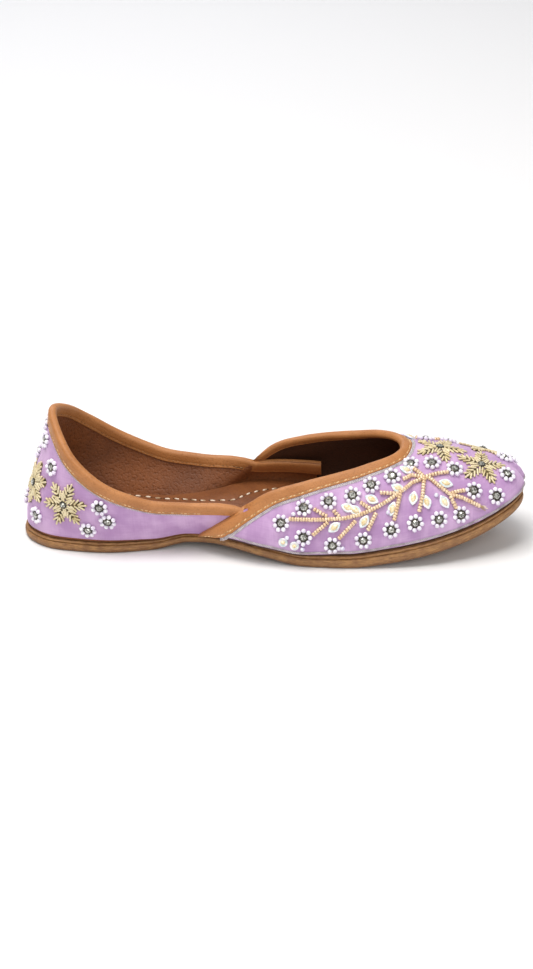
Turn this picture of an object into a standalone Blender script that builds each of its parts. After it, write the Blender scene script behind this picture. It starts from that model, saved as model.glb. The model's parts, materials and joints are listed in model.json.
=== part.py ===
"""Mojari: a flat slip-on shoe with a leather sole and a cloth-covered upper.

Frame: +X points to the toe, +Y to the wearer's left, +Z up. The sole rests on
z = 0 and the origin lies under the middle of the shoe. Metres.

The last is straight, so each piece is modelled as its left half and mirrored.
A station is a line on the upper that runs from the feather edge, where the
upper meets the sole, up to the top edge or to the ridge over the toes. Its
number goes from 0 at the heel's centre to 1 at the toe's centre.
"""
import math

import bmesh
import bpy
from mathutils import Vector
from mathutils.bvhtree import BVHTree
from mathutils.interpolate import poly_3d_calc

# Driving sizes of the shoe
LENGTH = 0.252
BALL_WIDTH = 0.0816
COLLAR_WIDTH = 0.0665
QUARTER_HEIGHT = 0.0600
INSTEP_HEIGHT = 0.0400
TOE_SPRING = 0.0220
ARCH_RISE = 0.0052
TOE_NOTCH = 0.0012
TOE_NOTCH_WIDTH = 0.0034

# Outsole
SOLE_THICKNESS = 0.0060
SOLE_LEDGE = 0.0009
SOLE_GROOVE = 0.0006
SOLE_EDGE_ROUND = 0.0014

# Upper
WALL = 0.0018
VAMP_STEP = 0.0014
FEATHER_INSET = 0.0012
LASTING_MARGIN = 0.0070
MARGIN_THICKNESS = 0.0012

# Bindings folded over the edges
BINDING_LEATHER = 0.0009
QUARTER_BINDING_WIDTH = 0.0060
VAMP_BINDING_WIDTH = 0.0048
WING_BINDING_WIDTH = 0.0082
BINDING_NARROWS_IN = 0.022
BINDING_INSIDE_WIDTH = 0.0054
QUARTER_END_LENGTH = 0.035
QUARTER_END_DROP = 0.0010
QUARTER_END_WIDTH = 0.0066

# Insole
INSOLE_THICKNESS = 0.0020

# Clearance between pieces that touch
GAP = 0.0003
# and under a strip laid on a rounded wall
EDGE_GAP = 0.0005
CORNER_GAP = 0.0008

# Stations where the upper changes
WING = 0.415
THROAT_FRONT = 0.70
QUARTER_FRONT = 0.50
# Rise of the crossing of quarter and vamp, as a share of QUARTER_HEIGHT
WING_RISE = 0.262

# Half outline of the outsole.
# along: share of LENGTH, out: share of half BALL_WIDTH
OUTLINE = (
    # along, out
    (0.000, 0.000),
    (0.020, 0.350),
    (0.080, 0.600),
    (0.180, 0.675),
    (0.280, 0.565),
    (0.330, 0.510),
    (0.370, 0.565),
    (0.440, 0.770),
    (0.500, 0.890),
    (0.560, 0.965),
    (0.640, 1.000),
    (0.720, 0.985),
    (0.800, 0.920),
    (0.900, 0.706),
    (0.950, 0.545),
    (0.975, 0.425),
    (0.992, 0.270),
    (1.000, 0.000),
)

# How far the upper's feather edge stands in from the outsole's outline.
# along: share of LENGTH, inset: share of FEATHER_INSET
FEATHER = (
    # along, inset
    (0.00, 1.0),
    (0.20, 0.4),
    (0.34, -1.2),
    (0.46, -1.6),
    (0.56, -0.4),
    (0.68, 1.5),
    (0.85, 1.7),
    (1.00, 0.9),
)

# Height of the outsole's underside, and the leather's thickness.
# along: share of LENGTH, arch: share of ARCH_RISE, spring: share of TOE_SPRING,
# thick: share of SOLE_THICKNESS
UNDERSIDE = (
    # along, arch, spring, thick
    (0.00, 0.00, 0.00, 0.98),
    (0.26, 0.00, 0.00, 0.88),
    (0.34, 0.66, 0.00, 0.78),
    (0.42, 1.00, 0.00, 0.92),
    (0.50, 0.55, 0.00, 1.02),
    (0.58, 0.00, 0.00, 1.06),
    (0.66, 0.00, 0.00, 1.12),
    (0.74, 0.00, 0.11, 1.16),
    (0.82, 0.00, 0.27, 1.16),
    (0.90, 0.00, 0.50, 1.14),
    (1.00, 0.00, 1.00, 1.08),
)

# Top edge of the quarter, from the heel's centre to the wing.
# station, along: share of LENGTH, out: share of half COLLAR_WIDTH,
# rise: share of QUARTER_HEIGHT above the footbed,
# lean: degrees that the wall leans out at the feather edge,
# dip: degrees below level at which the wall leaves the top edge,
# straight: how far the station is a straight line, 0 to 1
COLLAR = (
    # station, along, out, rise, lean, dip, straight
    (0.000, 0.067, 0.000, 1.020, -1, 79, 0),
    (0.100, 0.086, 0.480, 0.930, 4, 80, 0),
    (0.180, 0.122, 0.840, 0.760, 10, 84, 0),
    (0.260, 0.183, 1.010, 0.570, 16, 88, 0),
    (0.330, 0.262, 1.000, 0.434, 20, 90, 0.1),
    (0.380, 0.358, 0.930, 0.324, 24, 90, 0.5),
    (WING, 0.452, 0.900, WING_RISE, 26, 84, 1),
)

# Top edge of the vamp, from the wing to the throat's front.
# out: share of half COLLAR_WIDTH, rise: share of INSTEP_HEIGHT
THROAT = (
    # station, along, out, rise, lean, dip, straight
    (WING, 0.452, 0.900, WING_RISE * QUARTER_HEIGHT / INSTEP_HEIGHT, 26, 84, 1),
    (0.457, 0.500, 0.915, 0.645, 20, 72, 0.5),
    (0.513, 0.564, 0.862, 0.828, 12, 62, 0.1),
    (0.565, 0.632, 0.758, 0.913, 8, 52, 0),
    (0.617, 0.691, 0.618, 0.962, 6, 40, 0),
    (0.660, 0.733, 0.440, 0.956, 5, 27, 0),
    (0.685, 0.753, 0.235, 0.944, 5, 13, 0),
    (THROAT_FRONT, 0.759, 0.000, 0.936, 5, 2, 0),
)

# Ridge over the toes, from the throat's front to the top of the toe.
RIDGE = (
    # station, along, out, rise, lean, dip, straight
    (THROAT_FRONT, 0.759, 0.000, 0.936, 5, 2, 0),
    (0.740, 0.820, 0.000, 0.856, 5, 3, 0),
    (0.790, 0.866, 0.000, 0.742, 4, 5, 0),
    (0.850, 0.910, 0.000, 0.604, 3, 8, 0),
    (0.920, 0.944, 0.000, 0.457, 2, 14, 0),
    (1.000, 0.966, 0.000, 0.340, 0, 30, 0),
)

# Side of the outsole, from its top face down.
# inset: share of SOLE_LEDGE, groove: share of SOLE_GROOVE, round: share of SOLE_EDGE_ROUND,
# height: share of the thickness
SOLE_SIDE = (
    # inset, groove, round, height
    (1.4, 0.0, 0.0, 1.000),
    (0.9, 0.0, 0.0, 0.950),
    (0.7, 0.0, 0.0, 0.820),
    (0.7, 1.0, 0.0, 0.780),
    (0.7, 1.0, 0.0, 0.730),
    (0.3, 0.0, 0.0, 0.690),
    (0.0, 0.0, 0.0, 0.480),
    (0.0, 0.0, 0.1, 0.260),
    (0.0, 0.0, 0.5, 0.080),
    (0.0, 0.0, 1.2, 0.000),
)

# Shares of a station's chord that its two handles take
FOOT_HANDLE = 0.40
TOP_HANDLE = 0.42
# Distance over which a wall's direction turns from the outline's to the ridge's
FAN_BLEND = 0.012

# Where the bindings meet at the crossing
MITRE_CLEARANCE = 0.0030
MITRE_SLOPE = 0.70
INSIDE_TAPER = 0.40
LAP_SHARES = (0.80, 0.65, 0.50, 0.38)

# Resolution of the lofts
COLLAR_STEPS = 18
THROAT_STEPS = 22
RIDGE_STEPS = 14
WALL_STEPS = 9
QUARTER_END_STEPS = 12

MIRROR_MERGE = 1e-5


def monotone(rows, column, at):
    """Value of a table's column at a place in its first column, by a monotone cubic."""
    xs = [row[0] for row in rows]
    ys = [row[column] for row in rows]
    last = len(xs) - 2
    at = min(max(at, xs[0]), xs[-1])
    i = next(k for k in range(last + 1) if at <= xs[k + 1] or k == last)
    slopes = [(ys[k + 1] - ys[k]) / (xs[k + 1] - xs[k]) for k in range(last + 1)]

    def tangent(k):
        if k == 0:
            return slopes[0]
        if k == last + 1:
            return slopes[last]
        before, after = slopes[k - 1], slopes[k]
        if before * after <= 0:
            return 0.0
        return 2 * before * after / (before + after)

    step = xs[i + 1] - xs[i]
    u = (at - xs[i]) / step
    return hermite(ys[i], ys[i + 1], tangent(i) * step, tangent(i + 1) * step, u)


def hermite(start, end, start_tangent, end_tangent, u):
    """Cubic between two values with given tangents, at share u."""
    return ((1 + 2 * u) * (1 - u) ** 2 * start + u * (1 - u) ** 2 * start_tangent
            + u * u * (3 - 2 * u) * end + u * u * (u - 1) * end_tangent)


def edge_curve(rows, column, at, odd, mirror_start, mirror_end):
    """Value of an edge table's column, smooth across the mirror plane where told.

    Past a mirrored end the table goes on as its own reflection: out changes
    sign there, which odd says, and the other columns don't.
    """
    sign = -1 if odd else 1
    table = [(row[0], row[column]) for row in rows]
    first, last = table[0], table[-1]
    if mirror_start:
        table.insert(0, (2 * first[0] - table[1][0], sign * table[1][1]))
    if mirror_end:
        table.append((2 * last[0] - table[-2][0], sign * table[-2][1]))
    low = 1 if mirror_start else 0
    high = len(table) - (2 if mirror_end else 1)

    def slope(k):
        a, b = table[max(k - 1, 0)], table[min(k + 1, len(table) - 1)]
        return (b[1] - a[1]) / (b[0] - a[0])

    i = next(k for k in range(low, high) if at <= table[k + 1][0] or k == high - 1)
    step = table[i + 1][0] - table[i][0]
    u = (at - table[i][0]) / step
    return hermite(table[i][1], table[i + 1][1], slope(i) * step, slope(i + 1) * step, u)


def along_of(station):
    """Share of the length at which a station stands on the outline."""
    return (1 - math.cos(math.pi * station)) / 2


STATION_OUTLINE = tuple((math.acos(1 - 2 * along) / math.pi, out) for along, out in OUTLINE)


def underside(x):
    """Height of the outsole's underside at a distance from the heel."""
    along = x / LENGTH
    return ARCH_RISE * monotone(UNDERSIDE, 1, along) + TOE_SPRING * monotone(UNDERSIDE, 2, along)


def thickness_at(x):
    """Thickness of the outsole at a distance from the heel."""
    return SOLE_THICKNESS * monotone(UNDERSIDE, 3, x / LENGTH)


def footbed(x):
    """Height of the outsole's top face at a distance from the heel."""
    return underside(x) + thickness_at(x)


def outline_point(station):
    """Plan point of the outsole's edge, with the notch at the toe's centre."""
    out = monotone(STATION_OUTLINE, 1, station) * BALL_WIDTH / 2
    along = along_of(station) * LENGTH
    if station > 0.5:
        along -= TOE_NOTCH * math.exp(-(out / TOE_NOTCH_WIDTH) ** 2)
    return Vector((along, out, 0))


def outline_normal(station):
    """Plan normal of the outline, pointing out of the shoe."""
    if station <= 0:
        return Vector((-1, 0, 0))
    if station >= 1:
        return Vector((1, 0, 0))
    step = 0.004
    after, before = min(station + step, 1), max(station - step, 0)
    along = outline_point(after) - outline_point(before)
    return Vector((-along.y, along.x, 0)).normalized()


def inset_outline(station, inset, height=None):
    """Point of the outline moved in by a distance, at a height or on the footbed."""
    point = outline_point(station) - outline_normal(station) * inset
    if station in (0, 1):
        point.y = 0
    point.y = max(point.y, 0)
    point.z = footbed(point.x) if height is None else height
    return point


def centre_beside(point, tip):
    """Place on the mirror plane beside a point, not past the piece's own tip."""
    return tip.copy() if point.x >= tip.x else Vector((point.x, 0, point.z))


def feather_inset(station):
    """How far the upper's feather edge stands in from the outline at a station."""
    return FEATHER_INSET * monotone(FEATHER, 1, along_of(station))


def feather_point(station):
    """Point where the outer face of the upper meets the sole."""
    point = inset_outline(station, feather_inset(station))
    point.z += GAP
    return point


def top_row(station):
    """Table and height that give a station's top point, and its mirrored ends."""
    if station < WING:
        return COLLAR, QUARTER_HEIGHT, True, False
    if station < THROAT_FRONT:
        return THROAT, INSTEP_HEIGHT, False, True
    return RIDGE, INSTEP_HEIGHT, False, False


def top_point(station):
    """Point where a station ends, on the top edge or the ridge."""
    rows, height, starts, ends = top_row(station)
    along = edge_curve(rows, 1, station, False, starts, ends) * LENGTH
    out = edge_curve(rows, 2, station, True, starts, ends) * COLLAR_WIDTH / 2
    rise = edge_curve(rows, 3, station, False, starts, ends) * height
    return Vector((along, max(out, 0), footbed(along) + rise))


def ridge_slope(station):
    """Rise per run of the ridge."""
    step = 0.01
    before = top_point(max(station - step, THROAT_FRONT))
    after = top_point(min(station + step, 1))
    return (after.z - before.z) / (after.x - before.x)


def station_handles(station):
    """The four points of a station's curve, from the feather edge to the top."""
    foot, top = feather_point(station), top_point(station)
    rows, _, starts, ends = top_row(station)
    lean = math.radians(edge_curve(rows, 4, station, False, starts, ends))
    dip = math.radians(edge_curve(rows, 5, station, False, starts, ends))
    normal = outline_normal(station)
    chord = (foot - top).length
    plan = Vector((foot.x - top.x, foot.y - top.y, 0))
    if station >= THROAT_FRONT:
        outward = plan.normalized()
        down = Vector((outward.x, outward.y, ridge_slope(station) * outward.x))
    else:
        outward = (plan + normal * FAN_BLEND).normalized()
        down = outward * math.cos(dip) - Vector((0, 0, math.sin(dip)))
    up = normal * math.sin(lean) + Vector((0, 0, math.cos(lean)))
    line = (top - foot).normalized()
    straight = edge_curve(rows, 6, station, False, starts, ends)
    up = up.lerp(line, straight)
    down = down.normalized().lerp(-line, straight)
    return foot, foot + up * chord * FOOT_HANDLE, top + down * chord * TOP_HANDLE, top


def skin_point(station, share):
    """Point of the upper's outer face at a share of the way up a station."""
    a, b, c, d = station_handles(station)
    u = 1 - share
    return a * u ** 3 + b * 3 * u * u * share + c * 3 * u * share ** 2 + d * share ** 3


def spread(start, end, steps):
    """Values from start to end in equal steps, both ends among them."""
    return [start + (end - start) * k / steps for k in range(steps)] + [end]


def new_object(name, bm, material, collection, mirror=True):
    """Object from a bmesh: the left half of a piece, mirrored unless told not to."""
    bmesh.ops.remove_doubles(bm, verts=bm.verts, dist=MIRROR_MERGE)
    bmesh.ops.dissolve_degenerate(bm, edges=bm.edges, dist=MIRROR_MERGE / 10)
    bmesh.ops.recalc_face_normals(bm, faces=bm.faces)
    volume = sum(face.calc_center_median().y * face.normal.y * face.calc_area() for face in bm.faces)
    if volume < 0:
        bmesh.ops.reverse_faces(bm, faces=bm.faces)
    mesh = bpy.data.meshes.new(name)
    bm.to_mesh(mesh)
    bm.free()
    piece = bpy.data.objects.new(name, mesh)
    piece.location.x = -LENGTH / 2
    mesh.materials.append(material)
    collection.objects.link(piece)
    if mirror:
        half = piece.modifiers.new("other_half", "MIRROR")
        half.use_axis = (False, True, False)
        half.merge_threshold = MIRROR_MERGE
    return piece


def loft(bm, rows, closed=False):
    """Faces between rows of points; closed joins each row's last point to its first."""
    verts = [[bm.verts.new(point) for point in row] for row in rows]
    for before, after in zip(verts, verts[1:]):
        count = len(before)
        for k in range(count if closed else count - 1):
            bm.faces.new((before[k], before[(k + 1) % count], after[(k + 1) % count], after[k]))
    return verts


def leather(name, colour, roughness):
    """A plain material for a node."""
    material = bpy.data.materials.new(name)
    material.use_nodes = True
    shader = material.node_tree.nodes["Principled BSDF"]
    shader.inputs["Base Color"].default_value = (*colour, 1)
    shader.inputs["Roughness"].default_value = roughness
    shader.inputs["Metallic"].default_value = 0
    material.diffuse_color = (*colour, 1)
    return material


def station_list():
    """Stations from heel to toe, and the place of the wing in them."""
    collar = spread(0, WING, COLLAR_STEPS)
    throat = spread(WING, THROAT_FRONT, THROAT_STEPS)
    ridge = spread(THROAT_FRONT, 1, RIDGE_STEPS)
    return collar + throat[1:] + ridge[1:], len(collar) - 1


def quarter_share(station):
    """How much of the vamp's step has left the inner face: 0 on the quarter, 1 past its front."""
    u = min(max((station - WING) / (QUARTER_FRONT - WING), 0), 1)
    return u * u * (3 - 2 * u)


class Skin:
    """The upper's outer and inner faces as grids of points, a row for each station."""

    def __init__(self):
        self.stations, self.wing = station_list()
        shares = spread(0, 1, WALL_STEPS)
        self.base = [[skin_point(station, share) for share in shares] for station in self.stations]
        self.normals = self.face_normals()
        self.quarter = self.base[:self.wing + 1]
        self.vamp = [self.moved(k, VAMP_STEP) for k in range(self.wing, len(self.stations))]
        self.inner = [self.moved(k, VAMP_STEP * quarter_share(station) - WALL)
                      for k, station in enumerate(self.stations)]

    def face_normals(self):
        """Normals of the base grid at its points, level with the mirror plane on it."""
        bm = bmesh.new()
        verts = loft(bm, self.base)
        bm.normal_update()
        grid = [[vert.normal.copy() for vert in row] for row in verts]
        bm.free()
        outward = 1 if grid[self.wing][0].y > 0 else -1
        for k, row in enumerate(grid):
            for j, normal in enumerate(row):
                normal *= outward
                on_ridge = j == len(row) - 1 and self.stations[k] >= THROAT_FRONT
                if k in (0, len(grid) - 1) or on_ridge:
                    normal.y = 0
                    normal.normalize()
        return grid

    def moved(self, k, distance):
        """A row of the base moved along its normals, with its foot kept on the footbed."""
        row = [point + normal * distance for point, normal in zip(self.base[k], self.normals[k])]
        row[0].z = max(row[0].z, footbed(row[0].x) + GAP)
        return row


class Face:
    """One face of the wall, which pieces can be laid on at a distance."""

    def __init__(self, rows, normals, side):
        """Rows of points with their outward normals; side is 1 outside and -1 in the hollow."""
        bm = bmesh.new()
        verts = loft(bm, rows)
        flat = {vert: normal * side for row, line in zip(verts, normals) for vert, normal in zip(row, line)}
        self.tree = BVHTree.FromBMesh(bm)
        self.corners = [([vert.co.copy() for vert in face.verts], [flat[vert] for vert in face.verts])
                        for face in bm.faces]
        bm.free()

    def off(self, point, distance):
        """Point at a distance off the nearest place on the face."""
        place, _, index, _ = self.tree.find_nearest(point)
        corners, normals = self.corners[index]
        weights = poly_3d_calc(corners, place)
        normal = sum((n * weight for n, weight in zip(normals, weights)), Vector((0, 0, 0)))
        return place + normal.normalized() * distance


def build_upper(skin, material, collection):
    """One hollow wall, open at collar and throat and underneath, turned in over the footbed."""
    bm = bmesh.new()
    rows = []
    for k, station in enumerate(skin.stations):
        inner = [point.copy() for point in skin.inner[k]]
        bed = feather_point(station).z
        turn = bed + MARGIN_THICKNESS
        low = next(j for j in range(1, len(inner)) if inner[j].z > turn)
        share = (turn - inner[low - 1].z) / (inner[low].z - inner[low - 1].z)
        corner = inner[low - 1].lerp(inner[low], min(max(share, 0.02), 0.9))
        corner.z = turn
        wall = [corner if j < low else inner[j] for j in range(len(inner))]
        wall = [corner.lerp(inner[low], j / low) for j in range(low)] + wall[low:]
        inset = feather_inset(station) + LASTING_MARGIN
        margin = inset_outline(station, inset)
        margin.z += GAP
        over = margin + Vector((0, 0, MARGIN_THICKNESS))
        inside = wall[::-1] + [over, margin]
        if k <= skin.wing:
            rows.append((k, skin.quarter[k] + inside))
        if k >= skin.wing:
            rows.append((k, skin.vamp[k - skin.wing] + inside))
    count = len(skin.base[0])
    verts = [[bm.verts.new(point) for point in row] for _, row in rows]
    for (before, first), (after, second) in zip(zip(rows, verts), zip(rows[1:], verts[1:])):
        on_ridge = skin.stations[before[0]] >= THROAT_FRONT and before[0] != after[0]
        for j in range(len(first)):
            if j == count - 1 and on_ridge:
                continue
            n = (j + 1) % len(first)
            quad = [first[j], first[n], second[n], second[j]]
            if before[0] == after[0] and count <= j < len(first) - 1:
                continue
            bm.faces.new(quad)
    return new_object("upper", bm, material, collection)


def build_outsole(stations, material, collection):
    """Leather sole with a ledge and a groove under the upper and a rounded edge."""
    bm = bmesh.new()
    rows = []
    for station in stations:
        side = []
        for ledge, groove, rounding, height in SOLE_SIDE:
            inset = ledge * SOLE_LEDGE + groove * SOLE_GROOVE + rounding * SOLE_EDGE_ROUND
            point = inset_outline(station, inset)
            point.z = underside(point.x) + height * thickness_at(point.x)
            side.append(point)
        rows.append(side)
    tip = rows[-1]
    loft(bm, [[centre_beside(side[0], tip[0]), *side, centre_beside(side[-1], tip[-1])] for side in rows])
    return new_object("outsole", bm, material, collection)


def wall_point_at(row, height):
    """Point of an inner row at a height, read between its points."""
    for low, high in zip(row, row[1:]):
        if low.z <= height <= high.z:
            return low.lerp(high, (height - low.z) / (high.z - low.z))
    return row[0].copy()


def build_insole(skin, material, collection):
    """Leather sock on the footbed, thicker between the turned-in margins."""
    bm = bmesh.new()
    rows = []
    for station, inner in zip(skin.stations, skin.inner):
        bed = feather_point(station).z
        over_margin = bed + MARGIN_THICKNESS + GAP
        top = over_margin + INSOLE_THICKNESS
        normal = outline_normal(station)
        edge = wall_point_at(inner, top) - normal * 2 * GAP
        low = wall_point_at(inner, over_margin) - normal * 2 * GAP
        if (edge - low).dot(normal) > 0:
            edge = Vector((low.x, low.y, top))
        else:
            low = Vector((edge.x, edge.y, over_margin))
        hollow = inset_outline(station, feather_inset(station) + LASTING_MARGIN + GAP)
        step = Vector((hollow.x, hollow.y, footbed(hollow.x) + MARGIN_THICKNESS + 2 * GAP))
        edge.z = footbed(edge.x) + top - bed + GAP
        low.z = footbed(low.x) + over_margin - bed + GAP
        hollow.z += GAP
        rows.append([edge, low, step, hollow])
    for row in rows:
        for point in row:
            point.y = max(point.y, 0)
    tip = rows[-1]
    loft(bm, [[centre_beside(row[0], tip[0]), *row, centre_beside(row[-1], tip[-1])] for row in rows])
    return new_object("insole", bm, material, collection)


class Edge:
    """A path along an edge of the upper, with the frame that a binding needs."""

    def __init__(self, points, normals):
        self.points = points
        self.normals = normals
        self.into = []
        for k, normal in enumerate(normals):
            after, before = points[min(k + 1, len(points) - 1)], points[max(k - 1, 0)]
            along = after - before
            if abs(points[k].y) < MIRROR_MERGE:
                along = Vector((0, 1 if after.y > before.y else -1, 0))
            self.into.append(normal.cross(along).normalized())

    def cut_before_end(self, length):
        """Shorten the path by a length at its end."""
        total = self.distance(len(self.points) - 1) - length
        last = next(k for k in range(len(self.points)) if self.distance(k) >= total)
        share = (total - self.distance(last - 1)) / (self.distance(last) - self.distance(last - 1))
        for line in (self.points, self.normals, self.into):
            line[last] = line[last - 1].lerp(line[last], share)
            del line[last + 1:]

    def distance(self, k):
        """Length of the path from its start to a point."""
        return sum((b - a).length for a, b in zip(self.points[:k], self.points[1:k + 1]))


def folded_section(edge, k, thickness, outer, inner, width, inside, under=GAP):
    """Ring of a leather strip folded over a wall's edge."""
    point, normal, into = edge.points[k], edge.normals[k], edge.into[k]
    over = under + BINDING_LEATHER
    back = point - normal * thickness
    mid = point - normal * thickness / 2
    return [
        outer.off(point + into * width, EDGE_GAP),
        outer.off(point + into * width, over - under / 2),
        outer.off(point + into * width / 2, over),
        point + normal * over,
        point + normal * over * 0.6 - into * over * 0.8,
        mid - into * over,
        back - normal * over * 0.6 - into * over * 0.8,
        back - normal * over,
        inner.off(back + into * inside, over),
        inner.off(back + into * inside, under),
        back - normal * under - into * under,
        point + normal * under - into * under,
        outer.off(point + into * width / 2, EDGE_GAP),
    ]


def corner_section(edge, k, outer, width):
    """Ring at the crossing, all above the wall, where the strip starts to fold inward."""
    point, normal, into = edge.points[k], edge.normals[k], edge.into[k]
    under, over = CORNER_GAP, CORNER_GAP + BINDING_LEATHER
    raised = point + normal * VAMP_STEP
    back = point - normal * WALL
    return [
        outer.off(raised + into * width, EDGE_GAP),
        outer.off(raised + into * width, over - under / 2),
        outer.off(raised + into * width / 2, over),
        raised + normal * over,
        raised + normal * over * 0.6 - into * over * 0.8,
        raised.lerp(back, 0.5) - into * over,
        back - normal * over * 0.6 - into * over * 0.8,
        back - normal * over * 0.9 - into * under * 1.8,
        back - normal * over * 0.8 - into * under * 1.5,
        back - normal * over * 0.7 - into * under * 1.1,
        back - normal * under - into * under,
        raised + normal * under - into * under,
        outer.off(raised + into * width / 2, EDGE_GAP),
    ]


def lapped_section(edge, k, vamp, quarter, width, at_crossing):
    """Ring of the same strip where the wing laps over the quarter: it folds over the step only."""
    point, normal, into = edge.points[k], edge.normals[k], edge.into[k]
    under, over = EDGE_GAP, EDGE_GAP + BINDING_LEATHER
    raised = point + normal * VAMP_STEP
    lap = [point + normal * under - into * over * share for share in LAP_SHARES]
    lap.append(point + normal * under - into * under)
    if not at_crossing:
        lap = [quarter.off(place, under) for place in lap]
    return [
        vamp.off(raised + into * width, EDGE_GAP),
        vamp.off(raised + into * width, over - under / 2),
        vamp.off(raised + into * width / 2, over),
        raised + normal * over,
        raised + normal * over * 0.6 - into * over * 0.8,
        point + normal * VAMP_STEP / 2 - into * over,
        *lap,
        raised + normal * under - into * under,
        vamp.off(raised + into * width / 2, EDGE_GAP),
    ]


def on_plane(ring):
    """Lay a ring on the mirror plane."""
    for point in ring:
        point.y = 0


def build_quarter_binding(skin, material, collection):
    """Strip folded over the quarter's top edge, mitred where the wings cross it."""
    stations = range(skin.wing + 1)
    edge = Edge([skin.quarter[k][-1] for k in stations], [skin.normals[k][-1] for k in stations])
    outer = Face(skin.quarter, skin.normals[:skin.wing + 1], 1)
    inner = Face(skin.inner[:skin.wing + 1], skin.normals[:skin.wing + 1], -1)
    edge.cut_before_end(MITRE_CLEARANCE)
    total = edge.distance(len(edge.points) - 1)
    rings = []
    for k in range(len(edge.points)):
        left = total - edge.distance(k)
        width = min(QUARTER_BINDING_WIDTH, GAP + left * MITRE_SLOPE)
        inside = min(BINDING_INSIDE_WIDTH, GAP + left)
        rings.append(folded_section(edge, k, WALL, outer, inner, width, inside))
    on_plane(rings[0])
    bm = bmesh.new()
    verts = loft(bm, rings, closed=True)
    bm.faces.new(verts[-1])
    return new_object("quarter_binding", bm, material, collection)


def build_vamp_binding(skin, material, collection):
    """Strip folded over the throat's edge, which runs on down the wings to the sole."""
    shares = len(skin.base[0])
    wing_points = skin.base[skin.wing]
    wing_normals = skin.normals[skin.wing]
    throat = [k for k in range(skin.wing + 1, len(skin.stations))
              if skin.stations[k] <= THROAT_FRONT]
    raised = [skin.vamp[k - skin.wing][-1] for k in throat]
    edge = Edge(wing_points + raised, wing_normals + [skin.normals[k][-1] for k in throat])
    vamp = Face(skin.vamp, skin.normals[skin.wing:], 1)
    quarter = Face(skin.quarter, skin.normals[:skin.wing + 1], 1)
    inner = Face(skin.inner[skin.wing:], skin.normals[skin.wing:], -1)
    start = edge.distance(shares - 1)
    rings = []
    for k in range(len(edge.points)):
        if k < shares:
            at_crossing = k == shares - 1
            rings.append(lapped_section(edge, k, vamp, quarter, WING_BINDING_WIDTH, at_crossing))
            if at_crossing:
                rings.append(corner_section(edge, k, vamp, WING_BINDING_WIDTH))
            continue
        station = throat[k - shares]
        thickness = (skin.vamp[station - skin.wing][-1] - skin.inner[station][-1]).length
        past = edge.distance(k) - start
        inside = min(BINDING_INSIDE_WIDTH, past * INSIDE_TAPER)
        narrowed = min(past / BINDING_NARROWS_IN, 1)
        width = WING_BINDING_WIDTH + (VAMP_BINDING_WIDTH - WING_BINDING_WIDTH) * narrowed
        rings.append(folded_section(edge, k, thickness, vamp, inner, width, inside, EDGE_GAP))
    for ring in rings[:shares]:
        for point in ring:
            point.z = max(point.z, footbed(point.x) + GAP)
    on_plane(rings[-1])
    bm = bmesh.new()
    verts = loft(bm, rings, closed=True)
    bm.faces.new(verts[0])
    return new_object("vamp_binding", bm, material, collection)


def build_quarter_end(skin, name, side, material, collection):
    """The quarter's bound end, which runs on inside the vamp and is cut square."""
    inner = Face(skin.inner[skin.wing:], skin.normals[skin.wing:], -1)
    crossing = skin.base[skin.wing][-1]
    rings = []
    for share in spread(0, 1, QUARTER_END_STEPS):
        along = MITRE_CLEARANCE + share * (QUARTER_END_LENGTH - MITRE_CLEARANCE)
        top = crossing + Vector((along, -WALL, -GAP - share * QUARTER_END_DROP))
        low = top - Vector((0, 0, QUARTER_END_WIDTH))
        under, over = 1.5 * GAP, 1.5 * GAP + BINDING_LEATHER
        rings.append([inner.off(top, under), inner.off(top, over),
                      inner.off((top + low) / 2, over), inner.off(low, over),
                      inner.off(low, under), inner.off((top + low) / 2, under)])
    for ring in rings:
        for point in ring:
            point.y *= side
    bm = bmesh.new()
    verts = loft(bm, rings, closed=True)
    bm.faces.new(verts[0])
    bm.faces.new(verts[-1])
    return new_object(name, bm, material, collection, mirror=False)


def main():
    """Build the shoe's pieces."""
    for thing in list(bpy.data.objects):
        bpy.data.objects.remove(thing)
    shoe = bpy.data.collections.new("mojari_shoe")
    bpy.context.scene.collection.children.link(shoe)
    cloth = leather("lilac_cloth", (0.45, 0.27, 0.52), 0.8)
    tan = leather("tan_leather", (0.46, 0.18, 0.05), 0.5)
    lining = leather("brown_lining", (0.20, 0.06, 0.02), 0.6)
    sole = leather("sole_leather", (0.29, 0.13, 0.05), 0.7)
    skin = Skin()
    build_outsole(skin.stations, sole, shoe)
    build_upper(skin, cloth, shoe)
    build_insole(skin, lining, shoe)
    build_quarter_binding(skin, tan, shoe)
    build_vamp_binding(skin, tan, shoe)
    build_quarter_end(skin, "quarter_end_left", 1, tan, shoe)
    build_quarter_end(skin, "quarter_end_right", -1, tan, shoe)


main()
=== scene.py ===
"""Mojari shoe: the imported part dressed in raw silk, leather, silver braid and bead embroidery.

Frame: +X toward the toe, +Y toward the wearer's left, +Z up, metres. The shoe
is made on a straight last, so each piece is built as its left half and mirrored.
"""

import json
import logging
import math
from collections.abc import Iterable, Sequence
from dataclasses import dataclass, field
from enum import Enum
from typing import ClassVar

import bmesh
import bpy
import numpy as np
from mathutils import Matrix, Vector
from mathutils.bvhtree import BVHTree
from mathutils.interpolate import poly_3d_calc

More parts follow.
